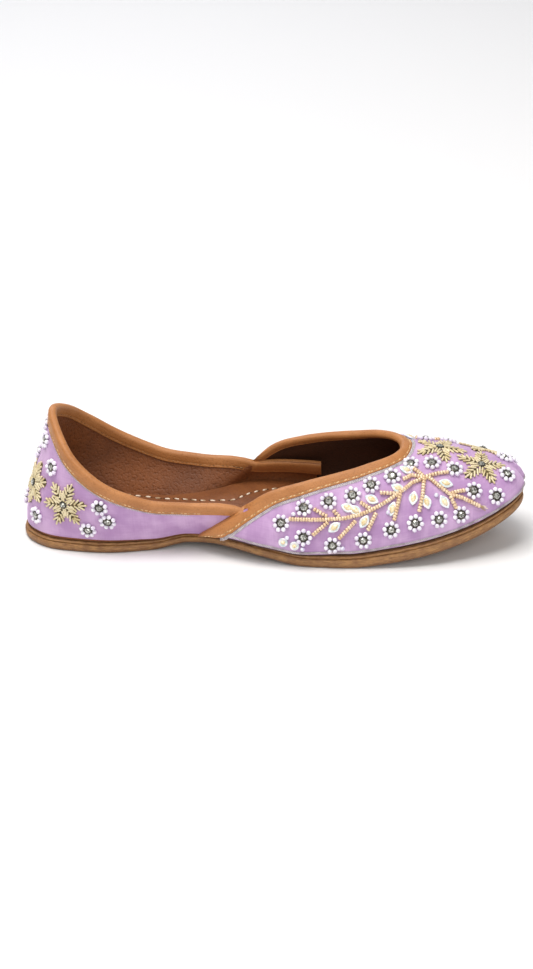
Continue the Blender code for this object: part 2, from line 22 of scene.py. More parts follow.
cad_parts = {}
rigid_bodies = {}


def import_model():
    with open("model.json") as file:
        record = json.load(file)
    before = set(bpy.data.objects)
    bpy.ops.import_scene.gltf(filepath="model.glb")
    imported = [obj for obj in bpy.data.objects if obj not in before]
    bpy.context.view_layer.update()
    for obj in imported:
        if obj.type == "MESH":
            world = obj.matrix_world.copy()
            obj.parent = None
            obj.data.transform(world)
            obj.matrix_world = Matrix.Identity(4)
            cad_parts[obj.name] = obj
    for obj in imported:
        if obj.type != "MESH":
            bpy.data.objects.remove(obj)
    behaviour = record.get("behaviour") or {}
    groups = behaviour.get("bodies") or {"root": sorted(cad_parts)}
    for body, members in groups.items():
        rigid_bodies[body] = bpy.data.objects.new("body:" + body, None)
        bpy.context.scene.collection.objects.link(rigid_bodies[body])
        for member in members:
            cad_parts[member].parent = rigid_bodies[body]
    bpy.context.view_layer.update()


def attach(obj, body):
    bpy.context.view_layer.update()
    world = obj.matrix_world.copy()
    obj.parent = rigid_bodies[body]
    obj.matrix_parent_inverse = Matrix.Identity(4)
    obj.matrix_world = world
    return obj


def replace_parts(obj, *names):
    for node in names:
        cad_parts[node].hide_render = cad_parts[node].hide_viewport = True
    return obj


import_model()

log = logging.getLogger("mojari")
MM = 0.001
BODY = "root"
Tree, Socket = bpy.types.NodeTree, bpy.types.NodeSocket
# a point with the direction off the face that it lies on, and a row of them
Place = tuple[Vector, Vector]
Path = Sequence[Place]
Table = Sequence[Sequence[float]]

# The last's tables, as in the part's source.
# along: share of the length, out: share of half the ball width
OUTLINE = ((0, 0), (.02, .35), (.08, .6), (.18, .675), (.28, .565), (.33, .51), (.37, .565),
           (.44, .77), (.5, .89), (.56, .965), (.64, 1), (.72, .985), (.8, .92), (.9, .706),
           (.95, .545), (.975, .425), (.992, .27), (1, 0))
# along, inset: share of the feather inset
FEATHER = ((0, 1), (.2, .4), (.34, -1.2), (.46, -1.6), (.56, -.4), (.68, 1.5), (.85, 1.7), (1, .9))
# along, arch, spring, thick: shares of the arch rise, the toe spring and the sole's thickness
UNDERSIDE = ((0, 0, 0, .98), (.26, 0, 0, .88), (.34, .66, 0, .78), (.42, 1, 0, .92), (.5, .55, 0, 1.02),
             (.58, 0, 0, 1.06), (.66, 0, 0, 1.12), (.74, 0, .11, 1.16), (.82, 0, .27, 1.16),
             (.9, 0, .5, 1.14), (1, 0, 1, 1.08))
WING, THROAT_FRONT, WING_RISE = .415, .70, .262
# station, along, out, rise, lean, dip, straight: a row for each station of the top edge or ridge
COLLAR = ((0, .067, 0, 1.02, -1, 79, 0), (.1, .086, .48, .93, 4, 80, 0), (.18, .122, .84, .76, 10, 84, 0),
          (.26, .183, 1.01, .57, 16, 88, 0), (.33, .262, 1, .434, 20, 90, .1),
          (.38, .358, .93, .324, 24, 90, .5), (WING, .452, .9, WING_RISE, 26, 84, 1))
THROAT = ((WING, .452, .9, WING_RISE * 1.5, 26, 84, 1), (.457, .5, .915, .645, 20, 72, .5),
          (.513, .564, .862, .828, 12, 62, .1), (.565, .632, .758, .913, 8, 52, 0),
          (.617, .691, .618, .962, 6, 40, 0), (.66, .733, .44, .956, 5, 27, 0),
          (.685, .753, .235, .944, 5, 13, 0), (THROAT_FRONT, .759, 0, .936, 5, 2, 0))
RIDGE = ((THROAT_FRONT, .759, 0, .936, 5, 2, 0), (.74, .82, 0, .856, 5, 3, 0), (.79, .866, 0, .742, 4, 5, 0),
         (.85, .91, 0, .604, 3, 8, 0), (.92, .944, 0, .457, 2, 14, 0), (1, .966, 0, .34, 0, 30, 0))


def hermite(start: float, end: float, leave: float, arrive: float, u: float) -> float:
    """Cubic between two values with given tangents, at share u."""
    return ((1 + 2 * u) * (1 - u) ** 2 * start + u * (1 - u) ** 2 * leave
            + u * u * (3 - 2 * u) * end + u * u * (u - 1) * arrive)


def monotone(rows: Table, column: int, at: float) -> float:
    """Value of a table's column at a place in its first column, by a monotone cubic."""
    xs, ys = [row[0] for row in rows], [row[column] for row in rows]
    last = len(xs) - 2
    at = min(max(at, xs[0]), xs[-1])
    i = next(k for k in range(last + 1) if at <= xs[k + 1] or k == last)
    slopes = [(ys[k + 1] - ys[k]) / (xs[k + 1] - xs[k]) for k in range(last + 1)]

    def tangent(k: int) -> float:
        if k in (0, last + 1):
            return slopes[min(k, last)]
        before, after = slopes[k - 1], slopes[k]
        return 0.0 if before * after <= 0 else 2 * before * after / (before + after)

    step = xs[i + 1] - xs[i]
    return hermite(ys[i], ys[i + 1], tangent(i) * step, tangent(i + 1) * step, (at - xs[i]) / step)


def edge_curve(rows: Table, column: int, at: float, odd: bool,
               mirror_start: bool, mirror_end: bool) -> float:
    """Value of an edge table's column, smooth across the mirror plane where told."""
    sign = -1 if odd else 1
    table = [(row[0], row[column]) for row in rows]
    first, last = table[0], table[-1]
    if mirror_start:
        table.insert(0, (2 * first[0] - table[1][0], sign * table[1][1]))
    if mirror_end:
        table.append((2 * last[0] - table[-2][0], sign * table[-2][1]))
    low, high = int(mirror_start), len(table) - (2 if mirror_end else 1)

    def slope(k: int) -> float:
        a, b = table[max(k - 1, 0)], table[min(k + 1, len(table) - 1)]
        return (b[1] - a[1]) / (b[0] - a[0])

    i = next(k for k in range(low, high) if at <= table[k + 1][0] or k == high - 1)
    step = table[i + 1][0] - table[i][0]
    return hermite(table[i][1], table[i + 1][1], slope(i) * step, slope(i + 1) * step,
                   (at - table[i][0]) / step)


def smooth(low: float, high: float, value: float | np.ndarray) -> float | np.ndarray:
    """Soft step from 0 at low to 1 at high."""
    u = np.clip((value - low) / (high - low), 0, 1)
    return u * u * (3 - 2 * u)


def bell(distance: float | np.ndarray, width: float) -> float | np.ndarray:
    """Soft hill that is 1 at no distance and fades out over a few widths."""
    return np.exp(-(distance / width) ** 2)


def averaged(values: np.ndarray, places: np.ndarray, reach: float, near: np.ndarray) -> np.ndarray:
    """Rows of values averaged with their neighbours.

    Args:
        values: a row for each place.
        places: distance of each along a line.
        reach: distance over which they are averaged.
        near: how far each row gives way to the average.

    Returns:
        The rows, averaged by their shares.
    """
    weights = bell(places[:, None] - places[None, :], reach)
    mean = np.tensordot(weights / weights.sum(axis=1, keepdims=True), values, axes=1)
    return values * (1 - near) + mean * near


@dataclass(frozen=True)
class Last:
    """The form that the shoe is made on, with the same sizes as the part's source."""

    length: float = .252
    ball_width: float = .0816
    collar_width: float = .0665
    quarter_height: float = .060
    instep_height: float = .040
    toe_spring: float = .022
    arch_rise: float = .0052
    toe_notch: float = .0012
    toe_notch_width: float = .0034
    sole_thickness: float = .006
    feather_inset: float = .0012
    gap: float = .0003
    foot_handle: float = .40
    top_handle: float = .42
    fan_blend: float = .012

    def underside(self, x: float) -> float:
        """Height of the sole's underside at a place along the shoe."""
        arch, spring = (monotone(UNDERSIDE, column, x / self.length + .5) for column in (1, 2))
        return self.arch_rise * arch + self.toe_spring * spring

    def thickness(self, x: float) -> float:
        """Thickness of the sole at a place along the shoe."""
        return self.sole_thickness * monotone(UNDERSIDE, 3, x / self.length + .5)

    def footbed(self, x: float) -> float:
        """Height of the sole's top face at a place along the shoe."""
        return self.underside(x) + self.thickness(x)

    def outline(self, station: float) -> Vector:
        """Plan point of the sole's edge, with the notch at the toe's centre."""
        places = [(math.acos(1 - 2 * along) / math.pi, out) for along, out in OUTLINE]
        out = monotone(places, 1, station) * self.ball_width / 2
        x = ((1 - math.cos(math.pi * station)) / 2 - .5) * self.length
        if station > .5:
            x -= self.toe_notch * float(bell(out, self.toe_notch_width))
        return Vector((x, out, 0))

    def outline_normal(self, station: float) -> Vector:
        """Plan normal of the outline, pointing out of the shoe."""
        if station in (0, 1):
            return Vector((2 * station - 1, 0, 0))
        along = self.outline(min(station + .004, 1)) - self.outline(max(station - .004, 0))
        return Vector((-along.y, along.x, 0)).normalized()

    def inset(self, station: float, distance: float) -> Vector:
        """Point of the outline moved in by a distance, on the footbed."""
        point = self.outline(station) - self.outline_normal(station) * distance
        point.y = 0 if station in (0, 1) else max(point.y, 0)
        point.z = self.footbed(point.x)
        return point

    def feather(self, station: float) -> Vector:
        """Point where the outer face of the upper meets the sole."""
        along = (1 - math.cos(math.pi * station)) / 2
        inset = self.feather_inset * monotone(FEATHER, 1, along)
        return self.inset(station, inset) + Vector((0, 0, self.gap))

    def top_row(self, station: float) -> tuple[Table, float, bool, bool]:
        """Table and height that give a station's top point, and its mirrored ends."""
        if station < WING:
            return COLLAR, self.quarter_height, True, False
        return (THROAT, self.instep_height, False, True) if station < THROAT_FRONT else (
            RIDGE, self.instep_height, False, False)

    def top(self, station: float) -> Vector:
        """Point where a station ends, on the top edge or the ridge."""
        rows, height, starts, ends = self.top_row(station)
        x = (edge_curve(rows, 1, station, False, starts, ends) - .5) * self.length
        out = edge_curve(rows, 2, station, True, starts, ends) * self.collar_width / 2
        rise = edge_curve(rows, 3, station, False, starts, ends) * height
        return Vector((x, max(out, 0), self.footbed(x) + rise))

    def ridge_slope(self, station: float) -> float:
        """Rise per run of the ridge over the toes."""
        before, after = self.top(max(station - .01, THROAT_FRONT)), self.top(min(station + .01, 1))
        return (after.z - before.z) / (after.x - before.x)

    def handles(self, station: float) -> tuple[Vector, Vector, Vector, Vector]:
        """Foot, handle at the foot, handle at the top and top of a station's curve."""
        foot, top = self.feather(station), self.top(station)
        rows, _, starts, ends = self.top_row(station)
        lean, dip, straight = (edge_curve(rows, column, station, False, starts, ends) for column in (4, 5, 6))
        lean, dip = math.radians(lean), math.radians(dip)
        normal, chord = self.outline_normal(station), (foot - top).length
        plan = Vector((foot.x - top.x, foot.y - top.y, 0))
        if station >= THROAT_FRONT:
            outward = plan.normalized()
            down = Vector((outward.x, outward.y, self.ridge_slope(station) * outward.x))
        else:
            outward = (plan + normal * self.fan_blend).normalized()
            down = outward * math.cos(dip) - Vector((0, 0, math.sin(dip)))
        up = normal * math.sin(lean) + Vector((0, 0, math.cos(lean)))
        line = (top - foot).normalized()
        up, down = up.lerp(line, straight), down.normalized().lerp(-line, straight)
        return foot, up * chord * self.foot_handle, down * chord * self.top_handle, top


@dataclass
class Skin:
    """The last's face as a dense grid of points with normals, a row for each station."""

    last: Last
    collar_steps: int = 54
    throat_steps: int = 64
    ridge_steps: int = 44
    soften: float = .014
    low_shares: tuple[float, ...] = (0, .006, .013, .021, .030, .042)
    wall_steps: int = 40

    def __post_init__(self) -> None:
        """Work out the grid and its normals."""
        stations = [np.linspace(0, WING, self.collar_steps + 1),
                    np.linspace(WING, THROAT_FRONT, self.throat_steps + 1)[1:],
                    np.linspace(THROAT_FRONT, 1, self.ridge_steps + 1)[1:]]
        self.stations = np.concatenate(stations)
        self.stations[-1] = 1.0
        self.wing, self.front = self.collar_steps, self.collar_steps + self.throat_steps
        handles = np.array([[tuple(v) for v in self.last.handles(float(s))] for s in self.stations])
        foot, up, down, top = handles.transpose(1, 0, 2)
        up, down = self.softened(up), self.softened(down)
        shares = np.concatenate([self.low_shares, np.linspace(.058, 1, self.wall_steps)])[None, :, None]
        a, b, c, d = (p[:, None, :] for p in (foot, foot + up, top + down, top))
        u = 1 - shares
        self.points = a * u ** 3 + 3 * b * u * u * shares + 3 * c * u * shares ** 2 + d * shares ** 3
        steps = np.linalg.norm(np.diff(self.points, axis=1), axis=2)
        self.height = np.concatenate([np.zeros((len(steps), 1)), np.cumsum(steps, axis=1)], axis=1)
        self.normals = self.face_normals()

    def softened(self, handles: np.ndarray) -> np.ndarray:
        """Handles averaged along the stations about the throat's front, where two tables join."""
        near = smooth(.08, .04, np.abs(self.stations - THROAT_FRONT))[:, None]
        return averaged(handles, self.stations, self.soften, near)

    def face_normals(self) -> np.ndarray:
        """Outward normals of the grid, level with the mirror plane on it."""
        normals = np.cross(np.gradient(self.points, axis=0), np.gradient(self.points, axis=1))
        normals *= np.sign(normals[self.wing, 10, 1])
        normals[[0, -1], :, 1] = 0
        normals[self.front:, -1, 1] = 0
        return normals / np.linalg.norm(normals, axis=2, keepdims=True)

    def moved(self, distance: np.ndarray | float) -> np.ndarray:
        """The grid moved along its normals, kept above the footbed at its foot."""
        moved = self.points + self.normals * np.broadcast_to(distance, self.height.shape)[:, :, None]
        bed = np.array([self.last.footbed(x) for x in moved[:, 0, 0]]) + self.last.gap
        moved[:, 0, 2] = np.maximum(moved[:, 0, 2], bed)
        return moved


class Face:
    """One face of a wall, which strips and beads are laid on at a distance."""

    # how far along a line of sight that misses the shoe the nearest place is looked for
    SIGHT = .35

    def __init__(self, points: np.ndarray, normals: np.ndarray, both: bool = False) -> None:
        """Take a half grid of points with the normals to lay things along.

        Args:
            points: rows of points of the left half.
            normals: the direction off the face at each point.
            both: also take the mirrored half.
        """
        rows, count = points.shape[:2]
        index = np.arange(rows * count).reshape(rows, count)
        corners = (index[:-1, :-1], index[1:, :-1], index[1:, 1:], index[:-1, 1:])
        quads = np.stack(corners, axis=-1).reshape(-1, 4)
        places, off = points.reshape(-1, 3), normals.reshape(-1, 3)
        if both:
            flip = np.array([1, -1, 1])
            quads = np.concatenate([quads, quads + len(places)])
            places, off = np.concatenate([places, places * flip]), np.concatenate([off, off * flip])
        self.places = [Vector(p) for p in places]
        self.off_face = [Vector(n) for n in off]
        self.quads = [tuple(int(i) for i in quad) for quad in quads]
        self.tree = BVHTree.FromPolygons(self.places, self.quads)

    def normal_at(self, place: Vector, quad: int) -> Vector:
        """Normal at a place on a quad, mixed from its corners."""
        corners = self.quads[quad]
        weights = poly_3d_calc([self.places[i] for i in corners], place)
        return sum((self.off_face[i] * w for i, w in zip(corners, weights)), Vector((0, 0, 0))).normalized()

    def off(self, point: Sequence[float], distance: float) -> Vector:
        """Point at a distance off the nearest place on the face."""
        place, _, quad, _ = self.tree.find_nearest(Vector(point))
        return place + self.normal_at(place, quad) * distance

    def ground(self, point: Sequence[float]) -> Place:
        """Nearest place on the face, and its normal."""
        place, _, quad, _ = self.tree.find_nearest(Vector(point))
        return place, self.normal_at(place, quad)

    def shot(self, start: Vector, way: Vector) -> Place:
        """Place that a ray meets first, and its normal; the nearest place where it misses."""
        place, _, quad, _ = self.tree.ray_cast(start, way)
        if place is None:
            place, _, quad, _ = self.tree.find_nearest(start + way * self.SIGHT)
        return place, self.normal_at(place, quad)


class Piece:
    """A mesh in the making: rows of points become faces, with a UV map in metres."""

    MERGE = .02 * MM

    def __init__(self, name: str) -> None:
        """Start an empty piece."""
        self.name = name
        self.bm = bmesh.new()
        self.uv = self.bm.loops.layers.uv.new("surface")

    def rows(self, points: np.ndarray, uvs: np.ndarray) -> None:
        """Faces between rows of points.

        Args:
            points: array of rows, points and coordinates.
            uvs: place of each point on the piece's own surface, in metres.
        """
        verts = [[self.bm.verts.new(point) for point in row] for row in points]
        for k in range(len(verts) - 1):
            for j in range(points.shape[1] - 1):
                corners = ((k, j), (k, j + 1), (k + 1, j + 1), (k + 1, j))
                face = self.bm.faces.new([verts[a][b] for a, b in corners])
                for loop, (a, b) in zip(face.loops, corners):
                    loop[self.uv].uv = uvs[a][b]

    def cap(self, ring: Table) -> None:
        """Close the end of a tube."""
        self.bm.faces.new([self.bm.verts.new(point) for point in ring])

    def made(self, finish: "Finish") -> bpy.types.Object:
        """The finished object: mirrored, closed, facing outwards and dressed."""
        bm = self.bm
        for vert in bm.verts:
            if abs(vert.co.y) < self.MERGE:
                vert.co.y = 0
        twin = bmesh.ops.duplicate(bm, geom=bm.verts[:] + bm.edges[:] + bm.faces[:])["geom"]
        for vert in (part for part in twin if isinstance(part, bmesh.types.BMVert)):
            vert.co.y = -vert.co.y
        bmesh.ops.reverse_faces(bm, faces=[part for part in twin if isinstance(part, bmesh.types.BMFace)])
        bmesh.ops.remove_doubles(bm, verts=bm.verts, dist=self.MERGE)
        bmesh.ops.dissolve_degenerate(bm, edges=bm.edges, dist=self.MERGE / 10)
        bmesh.ops.recalc_face_normals(bm, faces=bm.faces)
        return dressed(from_bmesh(self.name, bm), finish)


def linked(name: str, data: bpy.types.ID) -> bpy.types.Object:
    """An object with its data, in the scene."""
    new = bpy.data.objects.new(name, data)
    bpy.context.scene.collection.objects.link(new)
    return new


def from_bmesh(name: str, bm: bmesh.types.BMesh) -> bpy.types.Object:
    """An object in the scene of a mesh worked out in bmesh, which is freed."""
    mesh = bpy.data.meshes.new(name)
    bm.to_mesh(mesh)
    bm.free()
    return linked(name, mesh)


def dressed(piece: bpy.types.Object, finish: "Finish", crease: float = 48) -> bpy.types.Object:
    """Shade a piece and give it its finish, riding on the shoe.

    Args:
        piece: the new object.
        finish: what it is made of.
        crease: degrees between faces past which an edge stays sharp.

    Returns:
        The same object.
    """
    mesh = piece.data
    mesh.polygons.foreach_set("use_smooth", [True] * len(mesh.polygons))
    mesh.set_sharp_from_angle(angle=math.radians(crease))
    mesh.materials.clear()
    mesh.materials.append(finish.material())
    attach(piece, BODY)
    log.info("%-22s %7d faces  %s", piece.name, len(mesh.polygons), finish.name)
    return piece


def linear(colour: str) -> tuple[float, float, float, float]:
    """Linear colour of an sRGB hex value."""
    parts = [int(colour.lstrip("#")[i:i + 2], 16) / 255 for i in (0, 2, 4)]
    return (*(c / 12.92 if c <= .04045 else ((c + .055) / 1.055) ** 2.4 for c in parts), 1.0)


def add(tree: Tree, kind: str, inputs: dict[str | int, object] | None = None,
        **settings: object) -> bpy.types.Node:
    """Add a node with its settings, values and links.

    Args:
        tree: the node tree.
        kind: the node's type.
        inputs: a value, or another node's output, for each input by name or number.
        settings: the node's own properties.

    Returns:
        The new node.
    """
    new = tree.nodes.new(kind)
    for key, value in settings.items():
        setattr(new, key, value)
    for key, value in (inputs or {}).items():
        if isinstance(value, Socket):
            tree.links.new(value, new.inputs[key])
        else:
            new.inputs[key].default_value = value
    return new


@dataclass(frozen=True)
class Finish:
    """What a piece is made of: base of every finish, with its gloss and the record's slot."""

    name: str
    colour: str
    roughness: float = .6
    slot: str = ""

    def material(self) -> bpy.types.Material:
        """The finish as a material, built once."""
        found = bpy.data.materials.get(self.name)
        if found:
            return found
        material = bpy.data.materials.new(self.name)
        material.use_nodes = True
        tree = material.node_tree
        tree.nodes.clear()
        shader = add(tree, "ShaderNodeBsdfPrincipled",
                     {"Base Color": linear(self.colour), "Roughness": self.roughness})
        add(tree, "ShaderNodeOutputMaterial", {"Surface": shader.outputs["BSDF"]})
        self.dress(tree, shader)
        material.diffuse_color = linear(self.colour)
        return material

    def dress(self, tree: Tree, shader: bpy.types.Node) -> None:
        """Add the finish's own pattern, grain and gloss."""


def mixed(tree: Tree, share: float | Socket, low: str | Socket, high: str | Socket) -> Socket:
    """Colour between two hex values or sockets: share 0 gives the low one and 1 the high one."""
    ends = [linear(c) if isinstance(c, str) else c for c in (low, high)]
    blend = add(tree, "ShaderNodeMix", {0: share, 6: ends[0], 7: ends[1]}, data_type="RGBA")
    return blend.outputs[2]


def ramp(tree: Tree, value: Socket, low: float, high: float) -> Socket:
    """A value's soft step from 0 at low to 1 at high."""
    step = add(tree, "ShaderNodeMapRange", {"Value": value, "From Min": low, "From Max": high},
               interpolation_type="SMOOTHSTEP")
    return step.outputs["Result"]


def maths(tree: Tree, operation: str, *values: float | Socket) -> Socket:
    """Sum, product or the like of numbers and sockets."""
    return add(tree, "ShaderNodeMath", dict(enumerate(values)), operation=operation).outputs[0]


def here(tree: Tree) -> Socket:
    """Place on the object, in metres."""
    return add(tree, "ShaderNodeTexCoord").outputs["Object"]


def surface(tree: Tree) -> Socket:
    """Place on the piece's own surface, in metres."""
    return add(tree, "ShaderNodeUVMap", uv_map="surface").outputs[0]


def stretched(tree: Tree, place: Socket, along: float, across: float) -> Socket:
    """A place scaled apart along and across."""
    return add(tree, "ShaderNodeMapping", {"Vector": place, "Scale": (along, across, 1)}).outputs[0]


def noise(tree: Tree, place: Socket, scale: float, detail: float, rough: float = .5) -> Socket:
    """Soft clouds from 0 to 1, about a scale to the metre."""
    return add(tree, "ShaderNodeTexNoise", {"Vector": place, "Scale": scale, "Detail": detail,
                                            "Roughness": rough}).outputs[0]


def bands(tree: Tree, place: Socket, pitch: float, way: str, bend: float, detail: float = 2) -> Socket:
    """Bands from 0 to 1, a pitch apart on an axis, or two pitches where the way is diagonal."""
    inputs = {"Vector": place, "Scale": math.tau / 20 / pitch, "Distortion": bend, "Detail": detail}
    return add(tree, "ShaderNodeTexWave", inputs, bands_direction=way).outputs["Fac"]


def covered(tree: Tree, shader: bpy.types.Node, colour: Socket, height: Socket | None = None,
            strength: float = 0, depth: float = 0, **inputs: float | Socket) -> None:
    """Give a shader its colour, its relief and its other values.

    Args:
        tree: the material's tree.
        shader: its shader.
        colour: of its face.
        height: of its relief, if it has one.
        strength: of the relief.
        depth: of the relief, in metres.
        inputs: the shader's inputs with underscores for spaces.
    """
    tree.links.new(colour, shader.inputs["Base Color"])
    if height:
        bump = add(tree, "ShaderNodeBump", {"Height": height, "Strength": strength, "Distance": depth})
        tree.links.new(bump.outputs[0], shader.inputs["Normal"])
    for name, value in inputs.items():
        shader.inputs[name.replace("_", " ")].default_value = value


@dataclass(frozen=True)
class RawSilk(Finish):
    """Raw silk, plain-woven in one colour with slubbed yarn, pasted over leather.

    Gives a dull cloth with soft clouds of paler and pinker lilac, faint slubs and a
    bloom at grazing angles. Real yarns lie about 0.25 mm apart; they are drawn 1 mm
    apart so that they show from close by.
    """

    light: str = "#CFAED1"
    dark: str = "#A57FAD"
    bloom: str = "#EBD9F2"
    yarn: float = 1.0 * MM

    def dress(self, tree: Tree, shader: bpy.types.Node) -> None:
        """Weave, slubs and bloom."""
        uv = surface(tree)
        slub = maths(tree, "ADD", *(noise(tree, stretched(tree, uv, *scales), 1, 3)
                                    for scales in ((60, 1400), (1400, 60))))
        weave = maths(tree, "ADD", *(bands(tree, uv, self.yarn, way, .6, 1) for way in ("X", "Y")))
        patch = maths(tree, "MULTIPLY_ADD", slub, .16, noise(tree, here(tree), 75, 4))
        base = mixed(tree, ramp(tree, patch, .50, .88), self.dark, self.light)
        relief = maths(tree, "MULTIPLY_ADD", slub, 1.2, weave)
        covered(tree, shader, mixed(tree, .3, base, self.colour), relief, .08, .08 * MM,
                Sheen_Weight=.5, Sheen_Roughness=.4, Sheen_Tint=linear(self.bloom))


@dataclass(frozen=True)
class GrainLeather(Finish):
    """Vegetable-tanned goat leather, dyed in the drum and ironed.

    Gives a fine pebble in low relief, with painted shade darkening its valleys, and a
    dull gloss; grain is the width of a pebble.
    """

    dark: str = "#7D4A1E"
    light: str = "#CB8E57"
    grain: float = .6 * MM
    depth: float = .10 * MM
    mottle: float = 60
    even: float = .72
    # how far painted shade darkens the valleys between the pebbles
    valley: float = .35

    def dress(self, tree: Tree, shader: bpy.types.Node) -> None:
        """Pebbles, mottled dye, painted shade in the valleys and uneven gloss."""
        place = here(tree)
        cells = add(tree, "ShaderNodeTexVoronoi", {"Vector": place, "Scale": 1 / self.grain},
                    feature="SMOOTH_F1").outputs["Distance"]
        valley = ramp(tree, cells, .35, .85)
        dyed = mixed(tree, ramp(tree, noise(tree, place, self.mottle, 5, .6), .3, .72), self.dark, self.light)
        lit = mixed(tree, self.even, dyed, self.colour)
        # painted shade: the valleys between the pebbles darkened toward the dark tone
        shaded = mixed(tree, maths(tree, "MULTIPLY", valley, self.valley), lit, self.dark)
        height = maths(tree, "MULTIPLY_ADD", valley, -1.0, noise(tree, place, 3 / self.grain, 2))
        covered(tree, shader, shaded, height, .8, self.depth)
        wander = noise(tree, place, .35 / self.grain, 2)
        gloss = add(tree, "ShaderNodeMapRange", {"Value": wander, "To Min": self.roughness - .08,
                                                 "To Max": self.roughness + .1})
        tree.links.new(gloss.outputs[0], shader.inputs["Roughness"])


@dataclass(frozen=True)
class SoleLeather(Finish):
    """Thick vegetable-tanned sole leather, cut, rasped and burnished with wax.

    Gives an edge with the fine level lines of its fibres, darkened toward the floor
    by painted shade, and a mottled underside that painted shade half darkens.
    """

    dark: str = "#5A3518"
    light: str = "#B4854F"

    def dress(self, tree: Tree, shader: bpy.types.Node) -> None:
        """Fibre lines round the edge, burnish, scuffs and painted shade toward the floor."""
        side = surface(tree)
        up = add(tree, "ShaderNodeSeparateXYZ", {0: side}).outputs["Y"]
        fibres = noise(tree, stretched(tree, side, 220, 1900), 1, 4, .65)
        cloud = noise(tree, here(tree), 240, 6, .7)
        base = mixed(tree, ramp(tree, cloud, .3, .72), self.colour, self.light)
        lined = mixed(tree, .5, base, mixed(tree, ramp(tree, fibres, .60, .38), base, self.dark))
        # painted shade: the edge darkens over its lowest 2.6 mm, and the underside by half
        low = maths(tree, "MULTIPLY", ramp(tree, up, 2.6 * MM, .6 * MM), .5)
        relief = maths(tree, "ADD", fibres, cloud)
        covered(tree, shader, mixed(tree, low, lined, self.dark), relief, .7, .35 * MM)


SILK = RawSilk("lilac raw silk, plain woven", "#BA93BF", .68, "lilac_cloth")
BINDING = GrainLeather("tan goat leather, dyed and ironed", "#B5763F", .50, "tan_leather")
LINING = GrainLeather("brown goat lining, boarded", "#7E4822", .56, "brown_lining",
                      dark="#4A2610", light="#96592C", grain=1.1 * MM, depth=.24 * MM, mottle=45, even=.6)
# painted shade: a darker copy of the brown lining, laid on the vamp's lining inside the toe
SHADED_LINING = GrainLeather("brown goat lining, darkened as painted shade", "#3E2110", .62, "brown_lining",
                           dark="#241208", light="#55301A", grain=1.1 * MM, depth=.16 * MM, mottle=45)
SOCK = GrainLeather("brown insole leather, waxed", "#7C4722", .52, "brown_lining",
                    dark="#4E2911", light="#955F34", grain=.8 * MM, depth=.08 * MM, mottle=70)
SOLE = SoleLeather("sole leather, burnished edge", "#93673F", .55, "sole_leather")


